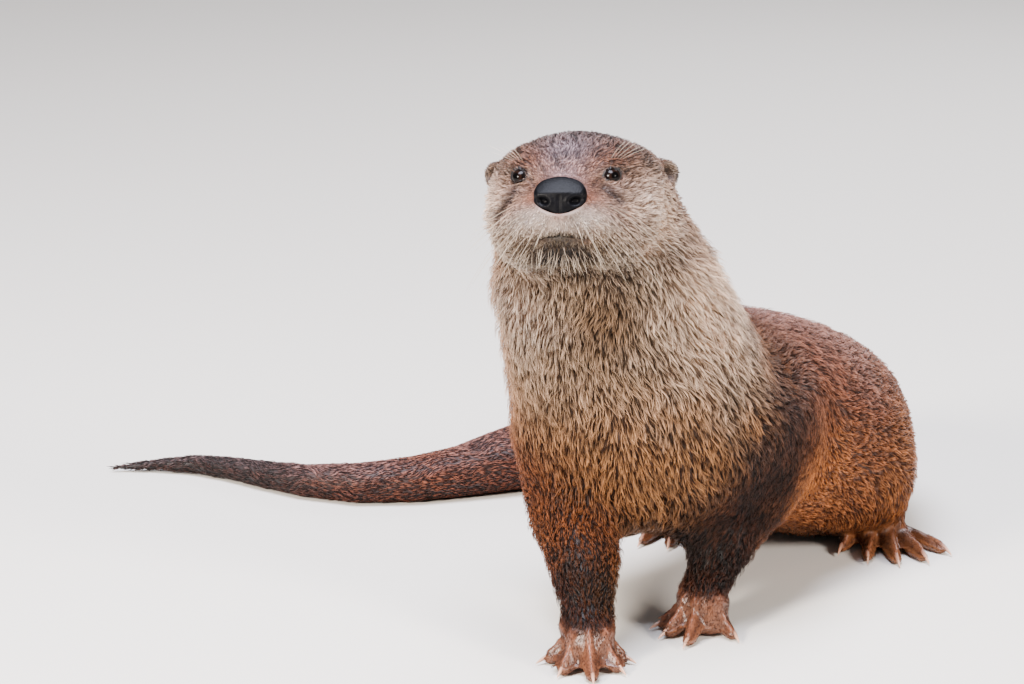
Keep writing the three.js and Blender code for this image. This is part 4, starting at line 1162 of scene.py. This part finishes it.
def unwrapped(t):
    p = t["root"]
    at = t["spineAt"]
    out = p - spine[at]
    angle = np.arctan2(np.sum(out * spineSide[at], 1), np.sum(out * spineBelly[at], 1))
    angle = angle / (2 * math.pi) + 0.5
    along = at + np.sum(out * spineWay[at], 1) / (3.2 * mm)
    uv = np.stack([along, angle], 1)
    h = inHead(p) - (0, -25, -14)
    onHead = t["label"] == 0
    polar = np.arccos(np.clip(unit(h)[:, 1], -1, 1)) / math.pi
    uv[onHead] = np.stack([polar, np.arctan2(h[:, 0], h[:, 2]) / (2 * math.pi) + 0.5], 1)[onHead]
    for node in fleshNodes[len(bodyNodes):]:  # round an upright axis, or a level one for a paw
        here = t["label"] == labelOf[node]
        low, high = boxOf(node)
        axis = np.array([0, -1.0, 0]) if "paw" in node else np.array([0, 0, 1.0])
        first = np.array([1.0, 0, 0])
        q = p[here] - (low + high) / 2
        place = (q @ axis) / np.abs((high - low) @ axis) + 0.5
        turn = np.arctan2(q @ first, q @ np.cross(axis, first)) / (2 * math.pi) + 0.5
        uv[here] = np.stack([place, turn], 1)
    return uv


coatPieces = {  # piece: nodes it covers, slot
    "coat_face": (["head"], "coat_brown"),
    "coat_crown": (["head"] + earNodes, "coat_brown"),
    "coat_neck": (["neck"], "coat_pale"),
    "coat_chest": (["chest"], "coat_brown"),
    "coat_loin": (["loin"], "coat_brown"),
    "coat_hips": (["hips"], "coat_brown"),
    "coat_tail": (["tail_base", "tail_middle", "tail_tip"], "coat_brown"),
    "coat_forelegs": (limbNodes[:2], "coat_brown"),
    "coat_thighs": (limbNodes[2:4], "coat_brown"),
    "coat_forepaws": (limbNodes[4:6], "paw_skin"),
    "coat_hindpaws": (limbNodes[6:], "paw_skin"),
}
faceEdge = -20.0  # mm forward in the head's frame, where the crown's piece begins


def makeCoat():
    material = guardHair()
    t = sowTufts(coatFields())
    points = bentTufts(t)
    uv = unwrapped(t)
    forward = inHead(t["root"])[:, 1]
    total = 0
    for name, (nodes, slot) in coatPieces.items():
        chosen = np.isin(t["label"], [labelOf[n] for n in nodes])
        onFace = (t["label"] == 0) & (forward > faceEdge)
        chosen &= onFace if name == "coat_face" else ~onFace
        picked = np.flatnonzero(chosen)
        n = len(picked)
        corners = points[picked].reshape(-1, 3)
        faces = (tuftFaces[None] + 5 * np.arange(n)[:, None, None]).reshape(-1, 3)
        piece = newPiece(name, corners, faces, material)
        shade = np.clip(t["shade"][picked], 0.5, 1.6)[:, None, None]
        base, tip = t["base"][picked][:, None, :], t["tip"][picked][:, None, :]
        reach = np.where(t["under"][picked], tuftForm["underTip"], 1.0)[:, None, None]
        mix = np.array([0, 0.12, 0.12, 0.36, 1.0])[None, :, None] * reach
        setColours(piece.data, "coatColour", ((base * (1 - mix) + tip * mix) * shade).reshape(-1, 3))
        places = uv[picked]
        low, high = places.min(0), places.max(0)
        places = 0.002 + (places - low) / (high - low) * (0.995 - tuftForm["patch"])
        if nodes[0] in limbNodes:  # each limb has its own band of the map
            band = t["label"][picked] - labelOf[nodes[0]]
            places[:, 0] = (places[:, 0] + band) / len(nodes)
        patch = np.stack([tuftAlong, tuftAcross], -1) * tuftForm["patch"]
        layer = piece.data.uv_layers.new(name="OFBake", do_init=False)
        corner = places[:, None, None, :] + patch[None]
        layer.data.foreach_set("uv", corner.astype(np.float32).ravel())
        total += len(faces)
        print(" ", name, len(faces), "triangles")
    print("coat:", total, "triangles")


makeCoat()

# eyes
eyeForm = {"around": 40, "down": 28, "cornea": 0.5, "corneaWide": 0.6}  # corners, mm it stands out, radians


def makeEyes():
    material = wetEye()
    for name, s in (("eye_left", 1), ("eye_right", -1)):
        centre = middleOf(name)
        look = unit(headForward * 0.8 + headLeft * s * 0.55 + headUp * 0.08)
        up, across = upAndAcross(look)
        rings, faces = [], []
        around, down = eyeForm["around"], eyeForm["down"]
        for i in range(down + 1):
            polar = math.pi * max(i, 0.02) / down
            radius = face["eyeBall"] + eyeForm["cornea"] * math.exp(-((polar / eyeForm["corneaWide"]) ** 2))
            for j in range(around):
                turn = 2 * math.pi * j / around
                out = across * math.cos(turn) + up * math.sin(turn)
                rings.append(centre + (look * math.cos(polar) + out * math.sin(polar)) * radius * mm)
        for i in range(down):
            for j in range(around):
                k = (j + 1) % around
                faces.append([i * around + j, (i + 1) * around + j, (i + 1) * around + k, i * around + k])
        piece = newPiece(name + "_ball", rings, faces, material)
        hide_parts(name)
        polarOf = np.repeat(np.arange(down + 1) / down * math.pi, around)
        setValues(piece.data, "iris", np.clip(polarOf / 0.95, 0, 1))


makeEyes()

# nose
noseForm = {  # mm, in the head's frame, from the nose's middle line
    "voxel": 0.6, "rounds": 20, "grow": 0.9, "tall": 1.14, "front": 36.2, "edge": -10.8, "slope": 0.8,
    "nostril": (10.0, -15.8), "nostrilReach": (3.9, 2.5), "deep": 3.4,
}


def makeNose():
    points, corners, _ = stacked(["nose_pad"])
    nose = Surface(wrapped(points, corners, noseForm["voxel"]))
    nose.points = nose.spread(nose.points, noseForm["rounds"], 0.8)
    nose.points += nose.normals() * noseForm["grow"] * mm
    taller = (inHead(nose.points)[:, 2] - face["nose"][1]) * (noseForm["tall"] - 1)
    nose.points += headUp * (taller * mm)[:, None]
    side, forward, up = inHead(nose.points).T
    side = side - face["nose"][0]
    shelf = noseForm["front"] - noseForm["slope"] * np.maximum(0, up - noseForm["edge"]) - 0.006 * side**2
    over = np.maximum(0, forward - shelf)
    nose.points -= headForward * (over * 0.85 * mm)[:, None]
    front = ease(24, 29, forward)
    push = np.zeros(nose.count)
    for s in (-1, 1):
        x, y = s * side - noseForm["nostril"][0], up - noseForm["nostril"][1]
        wide, high = noseForm["nostrilReach"]
        q = np.sqrt(((x + 0.35 * y) / wide) ** 2 + ((y - 0.22 * x) / high) ** 2)
        push -= noseForm["deep"] * (1 - ease(0.55, 1.1, q)) * front
        slot = hump(y - 0.4 - 0.3 * x, 0.8) * ease(1, 3, x) * (1 - ease(5, 7, x))
        push -= 1.2 * slot * front
        push += 0.45 * hump(q - 1.45, 0.3) * front
    push -= 0.8 * hump(side, 0.7) * ease(-11, -14, up) * front
    nose.points += nose.normals() * (push * mm)[:, None]
    nose.points = nose.spread(nose.points, 3, 0.5)
    nose.store()
    piece = addPiece("nose", nose.mesh, wetNoseLeather())
    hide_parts("nose_pad")


makeNose()

# claws
clawForm = {  # corners and rings, then mm; flat: width over height; taper: how soon it thins
    "around": 12, "rings": 9, "thick": 2.1, "flat": 0.8, "arch": 1.3, "taper": 0.62, "sunk": 0.3,
}


def makeClaws():
    material = clawHorn()
    for name in clawNodes:
        points, _ = nodeMesh(name)
        paw = nodeMesh("paw_" + name[5:-2])[0].mean(0)
        far = lengthOf(points[:, :2] - paw[:2])
        root, tip = points[np.argmin(far)], points[np.argmax(far)]
        way = unit(tip - root)
        across = unit(np.cross(way, (0, 0, 1)))
        up = np.cross(across, way)
        around, count = clawForm["around"], clawForm["rings"]
        made, along, faces = [], [], sleeve(count, around)
        for i in range(count + 1):
            t = i / count
            middle = root + (tip - root) * t + up * clawForm["arch"] * mm * 4 * t * (1 - t) * 0.6
            waist = 0.75 + 0.25 * min(1, t * 6)  # drawn in at the root
            radius = clawForm["thick"] * mm * (1 - t) ** clawForm["taper"] * waist + 0.05 * mm
            for j in range(around):
                turn = 2 * math.pi * j / around
                out = across * math.cos(turn) * clawForm["flat"] + up * math.sin(turn)
                made.append(middle + out * radius)
                along.append(t)
        last = len(made)
        made += [root - way * clawForm["sunk"] * mm, tip]
        along += [0, 1]
        for j in range(around):
            k = (j + 1) % around
            faces += [[last, k, j], [last + 1, count * around + j, count * around + k]]
        made = np.array(made)
        made[:, 2] = np.maximum(made[:, 2], 0.1 * mm)
        piece = newPiece(name + "_horn", made, faces, material)
        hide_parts(name)
        setValues(piece.data, "along", along)


makeClaws()

# whiskers
whiskerForm = {  # mm, and how many on each side
    "long": 44.0, "thick": 0.34,
    "brow": 5, "browLong": 20.0, "browThick": 0.24,
    "cheek": 3, "cheekLong": 24.0, "cheekThick": 0.16,
    "beard": 80, "beardLong": (7.0, 14.0), "beardThick": 0.2,  # on both sides together
    "steps": 7,  # along a bristle
}


def bristle(start, way, sag, long, thick):
    steps = whiskerForm["steps"]
    t = np.linspace(0, 1, steps + 1)[:, None]
    line = start + way * long * t + sag * long * t**2
    tangent = unit(np.gradient(line, axis=0))
    one = unit(np.cross(tangent, (0.3, 0.1, 1.0)))
    two = np.cross(tangent, one)
    radius = thick / 2 * (1 - t) ** 0.7 + 0.03 * mm
    turns = (0, 2 * math.pi / 3, 4 * math.pi / 3)
    rings = [line + radius * (math.cos(a) * one + math.sin(a) * two) for a in turns]
    last = steps * 3
    faces = sleeve(steps, 3) + [[2, 1, 0], [last, last + 1, last + 2]]
    return np.stack(rings, 1).reshape(-1, 3), faces, np.repeat(t[:, 0], 3)


def makeWhiskers():
    tree = BVHTree.FromPolygons(skin.points.tolist(), skin.corners.tolist())
    points, faces, along = [], [], []

    def plant(place, way, sag, long, thick):
        start = np.array(tree.find_nearest(Vector(fromHead(place)))[0])
        start -= np.asarray(way) @ headAxes * 0.6 * mm  # its root is in the skin
        hair = bristle(start, unit(way) @ headAxes, np.asarray(sag) @ headAxes, long * mm, thick * mm)
        count = sum(len(p) for p in points)
        points.append(hair[0])
        faces.extend([[c + count for c in corners] for corners in hair[1]])
        along.append(hair[2])

    for s, row, k, place in whiskerRoots():
        way = (s * (0.5 + 0.6 * k), 0.45 - 0.7 * k, -0.4 - 0.16 * row + dice.normal() * 0.08)
        sag = (0, -0.16 - 0.1 * k, -0.2 - 0.12 * dice.random())
        long = whiskerForm["long"] * (0.4 + 0.6 * k) * dice.uniform(0.7, 1.15)
        plant(place, way, sag, long, whiskerForm["thick"])
    for s in (-1, 1):
        for i in range(whiskerForm["brow"]):
            k = i / (whiskerForm["brow"] - 1)
            place, way = (s * (27 + 6 * k), -3 - 5 * k, 10.5), (s * (0.5 + 0.4 * k), 0.2, 0.9 - 0.3 * k)
            long = whiskerForm["browLong"] * dice.uniform(0.7, 1.2)
            plant(place, way, (s * 0.15, -0.3, -0.1), long, whiskerForm["browThick"])
        for i in range(whiskerForm["cheek"]):
            place = (s * (38 + 2 * i), -14 - 4 * i, -26 - 3 * i)
            long = whiskerForm["cheekLong"] * dice.uniform(0.8, 1.2)
            plant(place, (s * 0.9, -0.1, -0.5), (0, -0.2, -0.2), long, whiskerForm["cheekThick"])
    for _ in range(whiskerForm["beard"]):  # fine pale hairs that hang from the lips and the chin
        across = dice.uniform(-1, 1)
        place = (across * 25, 26 - 14 * across**2, dice.uniform(-54, -40) + 5 * across**2)
        way = (across * 0.7 + dice.normal() * 0.25, 0.25, -0.9)
        long = dice.uniform(*whiskerForm["beardLong"])
        plant(place, way, (0, -0.5, -0.1), long, whiskerForm["beardThick"])
    piece = newPiece("whiskers", np.vstack(points), faces, whiskerHair())
    setValues(piece.data, "along", np.concatenate(along))


makeWhiskers()
print("eyes, nose, claws and whiskers")
